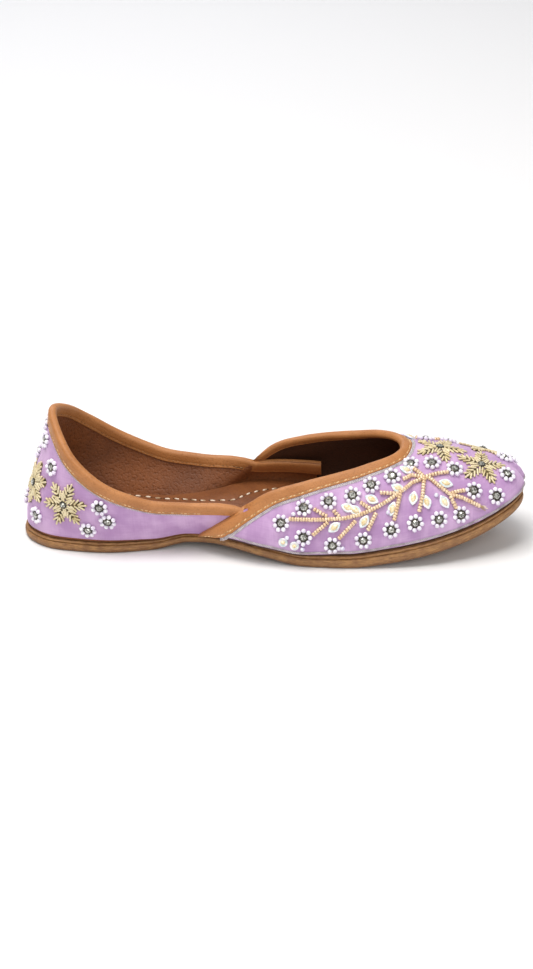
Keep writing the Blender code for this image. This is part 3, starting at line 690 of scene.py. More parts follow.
@dataclass
class Wall:
    """Layers of the upper, as distances off the last's face, and where they stop."""

    skin: Skin
    vamp_step: float = 1.4 * MM
    wall: float = 1.8 * MM
    cloth: float = .6 * MM
    tuck: float = 2.3 * MM
    tuck_height: float = 1.9 * MM
    quarter_reach: float = 35 * MM
    quarter_drop: float = 2.2 * MM
    lean: float = 3.2 * MM
    hidden_reach: float = 9 * MM

    def __post_init__(self) -> None:
        """Work out the faces of quarter and vamp."""
        skin = self.skin
        vamp_in = .1 * MM - .5 * MM * smooth(.5, .6, skin.stations)[:, None]
        tucked = smooth(self.tuck_height, 0, skin.height)
        self.vamp_out = skin.moved(self.vamp_step - self.tuck * tucked + self.creases())
        self.vamp_in = skin.moved(np.minimum(vamp_in, self.vamp_step - self.tuck * tucked - self.cloth))
        self.quarter_out = skin.moved(-self.tuck * tucked)
        self.crossing = Vector(skin.points[skin.wing, -1])
        self.quarter_in = self.leaned(skin.moved(-self.wall))

    def creases(self) -> np.ndarray:
        """Soft troughs and ridges pressed in the vamp by hand, in the shoe's own sizes.

        Returns:
            How far the cloth stands off, for each point of the grid.
        """
        x, y, z = np.moveaxis(self.skin.points, 2, 0)
        foot = self.skin.height
        from_toe = self.skin.last.length / 2 - x
        # the V over the notch at the toe's tip, and the fold above it
        fold = -1.0 * bell(y, 2.2 * MM) * smooth(12 * MM, 3 * MM, from_toe + .3 * foot)
        lips = .45 * bell(y - 4.5 * MM, 2.5 * MM) * smooth(10 * MM, 3 * MM, from_toe)
        # small pleats where the cloth is drawn round the toe onto the sole
        around = np.arctan2(y, np.maximum(x - 78 * MM, .1 * MM))
        pleats = .13 * np.sin(around * 34) * smooth(70 * MM, 90 * MM, x) * smooth(7 * MM, 1 * MM, foot)
        # long pulls from the throat's corner down to the sole, and across the instep
        pull = -.22 * bell(x - 20 * MM + .9 * (z - 25 * MM), 4 * MM)
        ridge = .20 * bell(x - 29 * MM + .8 * (z - 25 * MM), 4 * MM)
        dip = -.30 * bell(x - 80 * MM, 6 * MM) * smooth(30 * MM, 15 * MM, np.abs(y))
        return (fold + lips + pleats + pull + ridge + dip) * MM

    def leaned(self, grid: np.ndarray) -> np.ndarray:
        """A face of the quarter, whose free end leans in from the vamp past the crossing."""
        past = np.clip((grid[:, :, 0] - self.crossing.x) / self.quarter_reach, 0, 1.1)
        up = smooth(4 * MM, 14 * MM, self.skin.height)
        return grid - self.skin.normals * (self.lean * past ** 1.4 * up)[:, :, None]

    def eased(self, rows: np.ndarray) -> np.ndarray:
        """Rows of the lining, drawn smooth where quarter and wing meet, apart from their rims."""
        stations, share = self.skin.stations[:len(rows)], np.linspace(0, 1, rows.shape[1])
        near = bell(stations[:, None] - WING, .05) * smooth(0, .15, share) * smooth(1, .65, share)
        return averaged(rows, stations, .015, near[:, :, None])

    def line_height(self, x: float) -> float:
        """Height of the quarter's top edge past the crossing, inside the vamp."""
        share = (x - self.crossing.x) / self.quarter_reach
        return self.crossing.z - self.skin.last.gap - share * self.quarter_drop

    def quarter_rows(self, grid: np.ndarray, reach: float) -> tuple[np.ndarray, np.ndarray]:
        """Rows of the quarter's face, with those that run on inside the vamp cut at its top line.

        Args:
            grid: a face of the wall.
            reach: how far past the crossing the rows go.

        Returns:
            The rows, and each point's height up the wall.
        """
        wing, rows, heights = self.skin.wing, [], []
        for k in range(len(grid)):
            row, height = grid[k], self.skin.height[k]
            if k > wing:
                line = np.array([self.line_height(x) for x in row[:, 0]])
                top = np.interp(0, (row[:, 2] - line), np.arange(len(row)))
                if np.interp(top, np.arange(len(row)), row[:, 0]) > self.crossing.x + reach:
                    break
                at = np.linspace(0, top, len(row))
                row = np.stack([np.interp(at, np.arange(len(row)), row[:, c]) for c in range(3)], axis=1)
                height = np.interp(at, np.arange(len(height)), height)
            rows.append(row)
            heights.append(height)
        return np.array(rows), np.array(heights)

    @staticmethod
    def shell(name: str, outer: np.ndarray, inner: np.ndarray, height: np.ndarray,
              ridge: int | None = None) -> Piece:
        """A layer of the wall, closed at its rims.

        Args:
            name: the piece's name.
            outer: rows of its outer face.
            inner: rows of its inner face.
            height: each point's height up the wall, for the UV map.
            ridge: for the vamp, whose last row lies on the mirror plane, the first row
                whose top does so too; without it the first row lies on that plane.

        Returns:
            The piece, not yet mirrored.
        """
        piece = Piece(name)
        uv = np.stack([outer[:, :, 0], height], axis=2)
        piece.rows(outer, uv)
        piece.rows(inner[::-1], uv[::-1])
        between, both = np.stack([outer, inner], axis=2), np.stack([uv, uv], axis=2)
        piece.rows(between[:, 0], both[:, 0])
        top = len(outer) if ridge is None else ridge + 1
        piece.rows(between[:top, -1], both[:top, -1])
        end = -1 if ridge is None else 0
        piece.rows(between[end], both[end])
        return piece

    def build(self) -> None:
        """Cloth and lining of vamp and quarter, which together stand for the CAD upper."""
        skin, wing = self.skin, self.skin.wing
        ridge, height = skin.front - wing, skin.height[wing:]
        tucked = self.tuck * smooth(self.tuck_height, 0, skin.height)
        lining_out = skin.moved(.2 * MM - .35 * MM * smooth(.5, .6, skin.stations)[:, None])[wing:]
        cloth_in = skin.moved(np.minimum(.55 * MM, self.vamp_step - tucked - self.cloth))[wing:]
        out, out_height = self.quarter_rows(self.quarter_out, self.hidden_reach)
        mid, _ = self.quarter_rows(skin.moved(-tucked - self.cloth), self.hidden_reach)
        hidden = min(len(out), len(mid))
        inside, in_height = self.quarter_rows(self.quarter_in, self.quarter_reach)
        back, _ = self.quarter_rows(self.leaned(skin.moved(-self.wall + .9 * MM)), self.quarter_reach)
        shown = min(len(inside), len(back))
        for piece, finish in (
                (self.shell("vamp_cloth", self.vamp_out[wing:], cloth_in, height, ridge), SILK),
                (self.shell("quarter_cloth", out[:hidden], mid[:hidden], out_height[:hidden]), SILK),
                (self.shell("vamp_lining", lining_out, self.vamp_in[wing:], height, ridge), SHADED_LINING),
                (self.shell("quarter_lining", self.eased(back[:shown]), self.eased(inside[:shown]),
                            in_height[:shown]), LINING)):
            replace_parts(piece.made(finish), "upper")


def on_mirror(place: Vector) -> bool:
    """Whether a place lies on the shoe's middle plane."""
    return abs(place.y) < .01 * MM


@dataclass
class Strip:
    """Where a laid strip runs: what its stitches and its braid are placed by."""

    edge: "Edge"
    outer: Face
    inner: Face
    widths: list[float]
    insides: list[float]
    thicknesses: list[float]

    def path(self, share: float, lift: float, beyond: float = 0, inside: bool = False,
             first: int = 0, last: int | None = None) -> list[Place]:
        """Places along the strip with the direction off the wall.

        Args:
            share: of the strip's width, from the wall's edge.
            lift: distance off the wall.
            beyond: distance added past the share.
            inside: on the leg in the hollow.
            first: first place of the edge.
            last: place before which the path ends.

        Returns:
            Points and normals.
        """
        found, edge, ends = [], self.edge, (0, len(self.edge.points) - 1)
        for k in range(ends[1] + 1)[first:last]:
            face, width = (self.inner, self.insides[k]) if inside else (self.outer, self.widths[k])
            point = edge.points[k] - edge.normals[k] * (self.thicknesses[k] if inside else 0)
            place, normal = face.ground(point + edge.into[k] * (width * share + beyond))
            place = place + normal * lift
            if k in ends and on_mirror(edge.points[k]):
                place.y = normal.y = 0
            found.append((place, normal))
        return found


class Edge:
    """A path along an edge of the wall, with the frame that a folded strip needs."""

    def __init__(self, points: Table, normals: Table) -> None:
        """Take the edge's points and the wall's outward normals at them."""
        self.points = [Vector(p) for p in points]
        self.normals = [Vector(n).normalized() for n in normals]
        self.into: list[Vector] = []
        for k, normal in enumerate(self.normals):
            along = self.points[min(k + 1, len(self.points) - 1)] - self.points[max(k - 1, 0)]
            if on_mirror(self.points[k]):
                along = Vector((0, math.copysign(1, along.y), 0))
            self.into.append(normal.cross(along).normalized())
        steps = [(b - a).length for a, b in zip(self.points, self.points[1:])]
        self.distance = np.concatenate([[0], np.cumsum(steps)])

    def bridged(self, face: Face, widths: list[float], reach: float, about: int) -> list[float]:
        """Turn the frame so that a strip's far edge runs straight past a corner.

        Args:
            face: what the strip lies on.
            widths: of the strip at each place.
            reach: distance on each side of the corner over which its far edge is straight.
            about: place of the corner.

        Returns:
            The widths that go with the new frame.
        """
        far = [face.ground(p + i * w)[0] for p, i, w in zip(self.points, self.into, widths)]
        first, last = np.flatnonzero(np.abs(self.distance - self.distance[about]) < reach)[[0, -1]]
        run = self.distance[last] - self.distance[first]
        for k in range(first + 1, last):
            share = float((self.distance[k] - self.distance[first]) / run)
            far[k] = face.ground(far[first].lerp(far[last], share))[0]
        ways = [f - p for f, p in zip(far, self.points)]
        self.into = [way.normalized() for way in ways]
        return [way.length for way in ways]

    def eased(self, reach: float, about: int) -> None:
        """Turn the frame softly where the edge changes direction.

        Args:
            reach: distance over which directions are averaged.
            about: place on the path about which this is done.
        """
        near = bell(self.distance - self.distance[about], 4 * reach)[:, None]
        for line in (self.into, self.normals):
            mean = averaged(np.array([tuple(v) for v in line]), self.distance, reach, near)
            line[:] = [Vector(v).normalized() for v in mean]


@dataclass
class Binding:
    """Tan leather strips folded over the edges of quarter and vamp."""

    wall: Wall
    leather: float = .9 * MM
    # millimetres from the heel's middle, with the strip's width
    quarter_widths: Table = ((0, 6.2), (50, 5.8), (80, 5.0))
    # millimetres up the wing from the sole, and past the crossing, with the strip's width
    wing_widths: Table = ((0, .6), (6.5, 3.6), (13, 6.8), (20, 8.2))
    throat_widths: Table = ((5, 8.1), (11, 6.8), (20, 6.0), (45, 4.9))
    inside_width: float = 5.4 * MM
    throat_inside_width: float = 3.4 * MM
    end_width: float = 7.0 * MM
    corner_clear: float = .9 * MM
    # share of the width from the edge, share of the leather's thickness: a padded strip
    # that is drawn down along its row of stitches
    swell: Table = ((1.0, 0), (1.0, .45), (.97, .72), (.9, .8), (.80, .62),
                                              (.70, .9), (.5, 1.14), (.25, 1.2), (.1, 1.22))
    turns: int = 5
    # point of a row of the skin whose normal stands for the quarter's inside the vamp
    HIDDEN_POINT: ClassVar[int] = 30

    def ring(self, edge: Edge, k: int, thickness: float, outer: Face, inner: Face,
             width: float, inside: float) -> list[Vector]:
        """Ring of the strip where it is folded right over the wall.

        Args:
            edge: the wall's edge.
            k: place on it.
            thickness: the wall's own thickness there.
            outer: the face that the outer leg lies on.
            inner: the face that the inner leg lies on.
            width: of the outer leg.
            inside: width of the inner leg.

        Returns:
            The ring's points, the same number at every place.
        """
        point, normal, into = edge.points[k], edge.normals[k], edge.into[k]
        back, reach, fold = point - normal * thickness, thickness / 2 + self.leather, []
        for turn in range(self.turns + 2):
            angle = math.pi * turn / (self.turns + 1)
            fold.append((point + back) / 2 + normal * math.cos(angle) * reach
                        - into * math.sin(angle) * (self.leather + .1 * MM))
        return self.leg(outer, point, into * width) + fold + self.leg(inner, back, into * inside)[::-1]

    def leg(self, face: Face, point: Vector, across: Vector) -> list[Vector]:
        """One leg of a ring on a face, from its free end to the edge."""
        return [face.off(point + across * share, self.leather * high + .05 * MM)
                for share, high in self.swell]

    def vamp_width(self, run: float, crossing: float) -> float:
        """Width of the vamp's strip at a run from the wing's foot, with the crossing at another."""
        places = [run_mm * MM for run_mm, _ in self.wing_widths]
        places += [crossing + past * MM for past, _ in self.throat_widths]
        widths = [width * MM for _, width in self.wing_widths + self.throat_widths]
        return float(np.interp(run, places, widths))

    def lap(self, edge: Edge, k: int, vamp: Face, quarter: Face, width: float) -> list[Vector]:
        """Ring of the same strip where the wing lies on the quarter: it folds over the step only."""
        raised, into, step = edge.points[k], edge.into[k], self.wall.vamp_step
        point, fold = raised - edge.normals[k] * step, []
        for turn in range(self.turns + 2):
            angle = math.pi * .52 * turn / (self.turns + 1)
            lift = (step + self.leather) * math.cos(angle)
            place = point - into * math.sin(angle) * (self.leather + .3 * MM)
            fold.append(quarter.off(place, lift + .02 * MM))
        under = [quarter.off(point + into * (.2 + .3 * j) * MM, .02 * MM) for j in range(len(self.swell))]
        return self.leg(vamp, raised, into * width) + fold + under

    def quarter(self) -> None:
        """Strip over the collar edge, which runs on inside the vamp to a square end."""
        wall, skin = self.wall, self.wall.skin
        wing = skin.wing
        top, _ = wall.quarter_rows(wall.leaned(skin.points), wall.quarter_reach)
        normals = [skin.normals[k, -1 if k <= wing else self.HIDDEN_POINT] for k in range(len(top))]
        edge = Edge([row[-1] for row in top], normals)
        crossing = edge.distance[wing]
        outer = Face(wall.leaned(skin.moved(0)), skin.normals)
        inner = Face(wall.quarter_in, -skin.normals)
        rings, widths, insides = [], [], []
        for k in range(len(edge.points)):
            past = edge.distance[k] - crossing
            width = float(np.interp(edge.distance[k] / MM, *zip(*self.quarter_widths))) * MM
            if past > -1 * MM:
                width = max(width - (past + 1 * MM) * 1.2, .8 * MM)
            widened = float(smooth(-10 * MM, 10 * MM, past))
            inside = self.inside_width + (self.end_width - self.inside_width) * widened
            ring = self.ring(edge, k, wall.wall, outer, inner, width, inside)
            if past > 3 * MM:
                # past the crossing the outer leg is skived away between quarter and vamp
                for j in range(len(self.swell) + 3):
                    ring[j] = outer.off(ring[j], min(.1, past / (90 * MM)) * MM)
            rings.append(ring)
            widths.append(width)
            insides.append(inside)
        made = self.wrap("quarter_binding_strip", rings, edge.distance, 0, crossing)
        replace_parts(made, "quarter_binding", "quarter_end_left", "quarter_end_right")
        self.collar = Strip(edge, outer, inner, widths, insides, [wall.wall] * len(widths))

    def vamp(self) -> None:
        """Strip over the throat's edge, which runs on down both wings to the sole."""
        wall, skin = self.wall, self.wall.skin
        wing, front = skin.wing, skin.front
        smooth_vamp = skin.moved(wall.vamp_step + wall.creases())
        low = smooth_vamp[wing, ::3]
        points = np.concatenate([low, smooth_vamp[wing + 1:front + 1, -1]])
        normals = np.concatenate([skin.normals[wing, ::3], skin.normals[wing + 1:front + 1, -1]])
        edge = Edge(points, normals)
        shares = len(low)
        edge.eased(3 * MM, shares - 1)
        vamp = Face(smooth_vamp[wing:], skin.normals[wing:])
        inner = Face(wall.vamp_in[wing:], -skin.normals[wing:])
        quarter = Face(skin.moved(0), skin.normals)
        start = edge.distance[shares - 1]
        spans = [self.vamp_width(run, start) for run in edge.distance]
        spans = edge.bridged(vamp, spans, 10 * MM, shares - 1)
        # the rounded path is moved out past the wall's own corner
        for k, run in enumerate(edge.distance):
            clear = self.corner_clear * float(bell(run - start, 4 * MM))
            edge.points[k] = edge.points[k] - edge.into[k] * clear
            spans[k] += clear
        rings, insides, walls = [], [], []
        for k, width in enumerate(spans):
            past = edge.distance[k] - start
            if k < shares:
                ring, inside, thickness = self.lap(edge, k, vamp, quarter, width), 0, 0
                bed = skin.last.footbed(edge.points[k].x) + .1 * MM
                for place in ring:
                    place.z = max(place.z, bed)
            else:
                station = wing + 1 + k - shares
                thickness = float(np.linalg.norm(wall.vamp_out[station, -1] - wall.vamp_in[station, -1]))
                inside = min(self.throat_inside_width, .6 * MM + past * .5)
                ring = self.ring(edge, k, thickness, vamp, inner, width, inside)
            rings.append(ring)
            insides.append(inside)
            walls.append(thickness)
        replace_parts(self.wrap("vamp_binding_strip", rings, edge.distance, -1), "vamp_binding")
        self.throat, self.corner = Strip(edge, vamp, inner, spans, insides, walls), shares - 1

    @staticmethod
    def wrap(name: str, rings: list[list[Vector]], distance: np.ndarray, middle: int,
             about: float | None = None) -> bpy.types.Object:
        """Join rings to a tube of leather, closed at its free end.

        Args:
            name: the piece's name.
            rings: of points, the same number in each.
            distance: of each ring along the edge.
            middle: ring that lies on the mirror plane, 0 or -1.
            about: distance about which rings are averaged, so that the strip has no kink.

        Returns:
            The strip, mirrored.
        """
        for place in rings[middle]:
            place.y = 0
        closed = np.array([[tuple(place) for place in (*ring, ring[0])] for ring in rings])
        if about is not None:
            closed = averaged(closed, distance, 4 * MM, bell(distance - about, 9 * MM)[:, None, None])
        across = .8 * MM * np.arange(closed.shape[1])
        piece = Piece(name)
        piece.rows(closed, [[(run, v) for v in across] for run in distance])
        piece.cap(closed[-1 - middle][:-1])
        return piece.made(BINDING)


@dataclass
class Outsole:
    """Leather sole with a ledge and a groove under the upper and a rounded edge."""

    last: Last
    # inset in millimetres from the outline, height as a share of the thickness
    side: Table = (
        (7.0, 1), (2.9, .99), (2.5, .93), (2.1, .95), (1.5, .99), (1.1, .985), (.8, .95), (.62, .89),
        (.6, .85), (.75, .815), (1.25, .80), (1.45, .76), (1.25, .73), (.45, .70), (.24, .66), (.09, .6),
        (.01, .5), (.02, .38), (.12, .26), (.34, .16), (.7, .08), (1.15, .025), (1.8, 0), (5.0, 0))
    stations: int = 190

    def build(self) -> bpy.types.Object:
        """The sole as one closed piece, which stands for the CAD outsole."""
        last, rows, uvs, run, before = self.last, [], [], 0.0, None
        for station in (float(s) for s in np.linspace(0, 1, self.stations)):
            row = []
            for inset, share in self.side:
                point = last.inset(station, inset * MM)
                point.z = last.underside(point.x) + share * last.thickness(point.x)
                row.append(point)
            edge = last.outline(station)
            run, before = run + ((edge - before).length if before else 0), edge
            thick = last.thickness(edge.x)
            rows.append(row)
            uvs.append([(run, share * thick) for _, share in self.side])
        ends = [Vector(rows[-1][0]), Vector(rows[-1][-1])]
        full, full_uv = [], []
        for row, uv in zip(rows, uvs):
            row = [tuple(p) for p in row]
            top, low = row[0], row[-1]
            first = (min(top[0], ends[0].x), 0, top[2])
            final = (min(low[0], ends[1].x), 0, low[2])
            middle = [tuple(Vector(first).lerp(Vector(top), s)) for s in (0, .5)]
            under = [tuple(Vector(low).lerp(Vector(final), s)) for s in (.33, .66, 1)]
            full.append(middle + row + under)
            full_uv.append([uv[0], uv[0], *uv, *[(p[0], -abs(p[1]) - .001) for p in under]])
        piece = Piece("sole_leather_piece")
        piece.rows(np.array(full), np.array(full_uv))
        made = piece.made(SOLE)
        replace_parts(made, "outsole")
        return made


@dataclass
class Insole:
    """Leather sock with a heel pad and a forefoot pad quilted on it."""

    wall: Wall
    margin: float = 1.8 * MM
    leather: float = 2.0 * MM
    pad: float = .7 * MM
    # x in millimetres and half width of the forefoot pad and of the heel pad
    fore: Table = ((-9, .5), (-4, 6), (5, 12.5), (15, 19), (27, 25), (45, 29),
                                             (70, 27), (95, 19), (112, 10))
    heel: Table = ((-113, 3), (-108, 13), (-98, 19), (-85, 21), (-72, 18.5),
                                             (-55, 12.5), (-38, 7.5), (-25, 4.5), (-15, 1.2))
    across: int = 34

    def top(self, x: float) -> float:
        """Height of the sock's face, without its pads."""
        return self.wall.skin.last.footbed(x) + self.margin + self.leather

    def pads(self, x: float, y: float) -> float:
        """How far the pads lift the face at a place."""
        lift = 0.0
        for table in (self.fore, self.heel):
            xs = [row[0] * MM for row in table]
            if xs[0] <= x <= xs[-1]:
                half = float(np.interp(x, xs, [row[1] for row in table])) * MM
                inside = min(half - abs(y), x - xs[0] + .5 * MM, xs[-1] - x + .5 * MM)
                lift = max(lift, self.pad * float(smooth(0, 1.1 * MM, inside)))
        return lift

    def edge(self) -> np.ndarray:
        """Plan points where the sock meets the lining, a half from heel to toe."""
        skin, found = self.wall.skin, []
        reach = self.wall.crossing.x + self.wall.quarter_reach
        for k in range(len(skin.stations)):
            inner = self.wall.quarter_in[k] if skin.points[k, -1, 0] < reach else self.wall.vamp_in[k]
            height = self.top(float(inner[0, 0]))
            low = int(np.argmax(inner[:, 2] > height))
            share = (height - inner[low - 1, 2]) / (inner[low, 2] - inner[low - 1, 2])
            found.append(inner[low - 1] + (inner[low] - inner[low - 1]) * share)
        return np.array(found)

    def build(self) -> bpy.types.Object:
        """The sock as one closed piece, which stands for the CAD insole."""
        edge = self.edge()
        shares = np.linspace(1, 0, self.across)
        rows, lows, uvs = [], [], []
        for point in edge:
            x, half = float(point[0]), max(float(point[1]) - .1 * MM, 0)
            x = min(max(x, float(edge[0, 0]) + .1 * MM), float(edge[-1, 0]) - .1 * MM)
            line = [(x, half * s, self.top(x) + self.pads(x, half * s)) for s in shares]
            rows.append(line)
            lows.append([(x, half * s, self.top(x) - self.leather) for s in shares])
            uvs.append([(x, half * s) for s in shares])
        piece = Piece("insole_sock")
        rows, lows, uvs = np.array(rows), np.array(lows), np.array(uvs)
        piece.rows(rows, uvs)
        piece.rows(lows[::-1], uvs[::-1])
        piece.rows(np.stack([rows[:, 0], lows[:, 0]], axis=1), np.stack([uvs[:, 0], uvs[:, 0]], axis=1))
        made = piece.made(SOCK)
        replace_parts(made, "insole")
        return made


class Shape(Enum):
    """The small things that are sewn on, each a mesh of a few dozen faces."""

    PEARL = "pearl"
    SEED = "seed"
    BUGLE = "bugle"
    CLAW_CUP = "claw_cup"
    RHINESTONE = "rhinestone"
    MARQUISE = "marquise"
    MARQUISE_CENTRE = "marquise_centre"
    SEQUIN = "sequin"
    STITCH = "stitch"
    GRAIN = "grain"
    HOLE = "hole"


def turned(shape: Shape, profile: Table, around: int, wide: float = 1,
           pointed: float = 0, teeth: float = 0) -> bpy.types.Object:
    """A small form turned about Z, one unit wide, with its ends closed.

    Args:
        shape: which it is.
        profile: radius and height of each ring, from below.
        around: points in a ring.
        wide: its width across, as a share of its length along X.
        pointed: how far its two ends are drawn to points.
        teeth: how far every second point of the upper rings stands out.

    Returns:
        The form as an object, which the trees lay down.
    """
    rings = []
    for n, (radius, height) in enumerate(profile):
        ring = []
        for i in range(around):
            x, y = math.cos(math.tau * i / around), math.sin(math.tau * i / around)
            out = radius * (1 + (teeth if i % 2 and n >= len(profile) // 2 else 0))
            ring.append((out * x, out * y * wide * (1 - pointed * x * x), height))
        rings.append(ring)
    return tube(shape, rings)


def rolled(shape: Shape, profile: Table, around: int, flat: float = 1) -> bpy.types.Object:
    """A small form about the X axis, one unit long: radius and place of each ring."""
    angles = [math.tau * i / around for i in range(around)]
    circle = [(math.cos(angle), flat * math.sin(angle)) for angle in angles]
    return tube(shape, [[(place, radius * y, radius * z) for y, z in circle] for radius, place in profile])


def tube(shape: Shape, rings: Sequence[Table]) -> bpy.types.Object:
    """Rings of points joined to a closed form."""
    bm = bmesh.new()
    rings = [[bm.verts.new(point) for point in ring] for ring in rings]
    for before, after in zip(rings, rings[1:]):
        for i in range(len(before)):
            n = (i + 1) % len(before)
            bm.faces.new((before[i], before[n], after[n], after[i]))
    bm.faces.new(rings[0][::-1])
    bm.faces.new(rings[-1])
    bmesh.ops.recalc_face_normals(bm, faces=bm.faces)
    return from_bmesh("form_" + shape.value, bm)


def small_form(shape: Shape) -> bpy.types.Object:
    """The mesh of a small thing, about one unit in size, lying on z = 0 or about it."""
    match shape:
        case Shape.PEARL:
            bm = bmesh.new()
            bmesh.ops.create_icosphere(bm, subdivisions=2, radius=.5)
            return from_bmesh("form_" + shape.value, bm)
        case Shape.SEED:
            return rolled(shape, ((.22, -.36), (.42, -.30), (.5, -.1), (.5, .1), (.42, .30), (.22, .36)), 8)
        case Shape.BUGLE:
            return rolled(shape, ((.28, -.5), (.46, -.47), (.5, -.38), (.5, .38), (.46, .47), (.28, .5)), 7)
        case Shape.CLAW_CUP:
            return turned(shape, ((.40, 0), (.5, .05), (.46, .30), (.34, .40)), 16, teeth=.22)
        case Shape.RHINESTONE:
            return turned(shape, ((.36, 0), (.5, .16), (.5, .20), (.30, .42)), 8)
        case Shape.MARQUISE:
            return turned(shape, ((.46, 0), (.5, .04), (.49, .10), (.40, .15), (.30, .12)), 16, .98, .55)
        case Shape.MARQUISE_CENTRE:
            return turned(shape, ((.30, .0), (.31, .10), (.24, .18), (.10, .22)), 12, .9, .5)
        case Shape.SEQUIN:
            return turned(shape, ((.46, 0), (.5, .05), (.46, .12), (.30, .07), (.14, .06)), 14)
        case Shape.STITCH:
            ends = ((.10, .5), (.17, .40), (.20, .2))
            return rolled(shape, (*((r, -x) for r, x in ends), (.21, 0), *ends[::-1]), 6, .8)
        case Shape.GRAIN:
            return rolled(shape, ((.08, -.5), (.17, -.3), (.19, 0), (.17, .3), (.08, .5)), 6, .8)
        case _:
            return turned(shape, ((.5, -.05), (.42, .03)), 8)


class LayingTree:
    """Geometry Nodes that lay a small form on points, or at even steps along a path."""

    VECTORS = ("facing", "heading", "size")

    def __init__(self, along_path: bool) -> None:
        """Build the tree.

        Args:
            along_path: step along a path of edges, rather than use the points as they are.
        """
        name = "lay_along_path" if along_path else "lay_on_points"
        tree = bpy.data.node_groups.new(name, "GeometryNodeTree")
        face = tree.interface
        face.new_socket("Geometry", in_out="OUTPUT", socket_type="NodeSocketGeometry")
        face.new_socket("Geometry", in_out="INPUT", socket_type="NodeSocketGeometry")
        self.ids = {name: face.new_socket(name, in_out="INPUT", socket_type=kind).identifier
                    for name, kind in (("Form", "NodeSocketObject"), ("Material", "NodeSocketMaterial"),
                                       ("Size", "NodeSocketVector"), ("Step", "NodeSocketFloat"),
                                       ("Slant", "NodeSocketFloat"), ("Stray", "NodeSocketFloat"),
                                       ("Seed", "NodeSocketInt"))}
        given = add(tree, "NodeGroupInput").outputs
        places = given["Geometry"]
        facing, heading, size = (
            add(tree, "GeometryNodeInputNamedAttribute", {"Name": name}, data_type="FLOAT_VECTOR").outputs[0]
            for name in self.VECTORS)
        if along_path:
            curve = add(tree, "GeometryNodeMeshToCurve", {0: places}).outputs[0]
            places = add(tree, "GeometryNodeResampleCurve", {"Curve": curve, "Length": given["Step"]},
                         mode="LENGTH").outputs[0]
            heading = add(tree, "GeometryNodeInputTangent").outputs[0]
            size = given["Size"]
        else:
            size = add(tree, "ShaderNodeVectorMath", {0: size, 1: given["Size"]},
                       operation="MULTIPLY").outputs[0]
        up = add(tree, "FunctionNodeAlignRotationToVector", {"Vector": facing}, axis="Z")
        ahead = add(tree, "FunctionNodeAlignRotationToVector", {"Rotation": up.outputs[0], "Vector": heading},
                    axis="X", pivot_axis="Z")
        stray = add(tree, "FunctionNodeRandomValue", {2: -1.0, 3: 1.0, "Seed": given["Seed"]},
                    data_type="FLOAT")
        turn = maths(tree, "MULTIPLY_ADD", stray.outputs[1], given["Stray"], given["Slant"])
        about = add(tree, "ShaderNodeCombineXYZ", {"Z": turn}).outputs[0]
        spun = add(tree, "FunctionNodeRotateRotation", {0: ahead.outputs[0], 1: about},
                   rotation_space="LOCAL")
        shown = add(tree, "GeometryNodeObjectInfo", {"Object": given["Form"]}).outputs["Geometry"]
        laid = add(tree, "GeometryNodeInstanceOnPoints", {"Points": places, "Instance": shown,
                                                          "Rotation": spun.outputs[0], "Scale": size})
        real = add(tree, "GeometryNodeRealizeInstances", {0: laid.outputs[0]}).outputs[0]
        dressed_up = add(tree, "GeometryNodeSetMaterial", {"Geometry": real, "Material": given["Material"]})
        add(tree, "NodeGroupOutput", {0: dressed_up.outputs[0]})
        self.tree = tree

    def lay(self, name: str, carrier: bpy.types.Mesh, shape: Shape, finish: Finish,
            size: Sequence[float], step: float = MM, slant: float = 0, stray: float = 0,
            seed: int = 7, crease: float = 48) -> bpy.types.Object:
        """Lay a form and turn the result into a plain mesh.

        Args:
            name: the piece's name.
            carrier: mesh of the points, or of the path's edges, with its attributes.
            shape: what is laid.
            finish: what it is made of.
            size: scale of the form along, across and off the surface.
            step: distance between two along a path.
            slant: angle from the path's direction, in degrees.
            stray: how far the angle varies, in degrees.
            seed: of that variation.
            crease: degrees past which an edge stays sharp.

        Returns:
            The finished piece.
        """
        holder, small = linked(name + "_places", carrier), small_form(shape)
        steps = holder.modifiers.new("lay", "NODES")
        steps.node_group = self.tree
        values = {"Form": small, "Material": finish.material(), "Size": tuple(size), "Step": step,
                  "Slant": math.radians(slant), "Stray": math.radians(stray), "Seed": seed}
        for key, value in values.items():
            steps[self.ids[key]] = value
        graph = bpy.context.evaluated_depsgraph_get()
        mesh = bpy.data.meshes.new_from_object(holder.evaluated_get(graph))
        mesh.name = name
        for attribute in [a.name for a in mesh.attributes if a.name in self.VECTORS]:
            mesh.attributes.remove(mesh.attributes[attribute])
        for spare in (holder, small):
            data = spare.data
            bpy.data.objects.remove(spare)
            bpy.data.meshes.remove(data)
        return dressed(linked(name, mesh), finish, crease)


def carrier(points: Sequence[Vector], edges: Sequence[tuple[int, int]] = (),
            **vectors: Table) -> bpy.types.Mesh:
    """A mesh of points and edges that carries a vector for each point under each name."""
    mesh = bpy.data.meshes.new("places")
    mesh.from_pydata([tuple(p) for p in points], list(edges), [])
    for name, values in vectors.items():
        layer = mesh.attributes.new(name, "FLOAT_VECTOR", "POINT")
        layer.data.foreach_set("vector", np.array([tuple(v) for v in values], dtype=np.float32).ravel())
    return mesh


def paths_mesh(paths: Iterable[Path]) -> bpy.types.Mesh:
    """Paths of points and normals as one mesh of edges."""
    points, normals, edges = [], [], []
    for path in paths:
        start = len(points)
        points += [p for p, _ in path]
        normals += [n for _, n in path]
        edges += [(start + i, start + i + 1) for i in range(len(path) - 1)]
    return carrier(points, edges, facing=normals)


def mirrored(path: Path) -> list[Place]:
    """A path on the other half of the shoe."""
    flip = Vector((1, -1, 1))
    return [(p * flip, n * flip) for p, n in path]


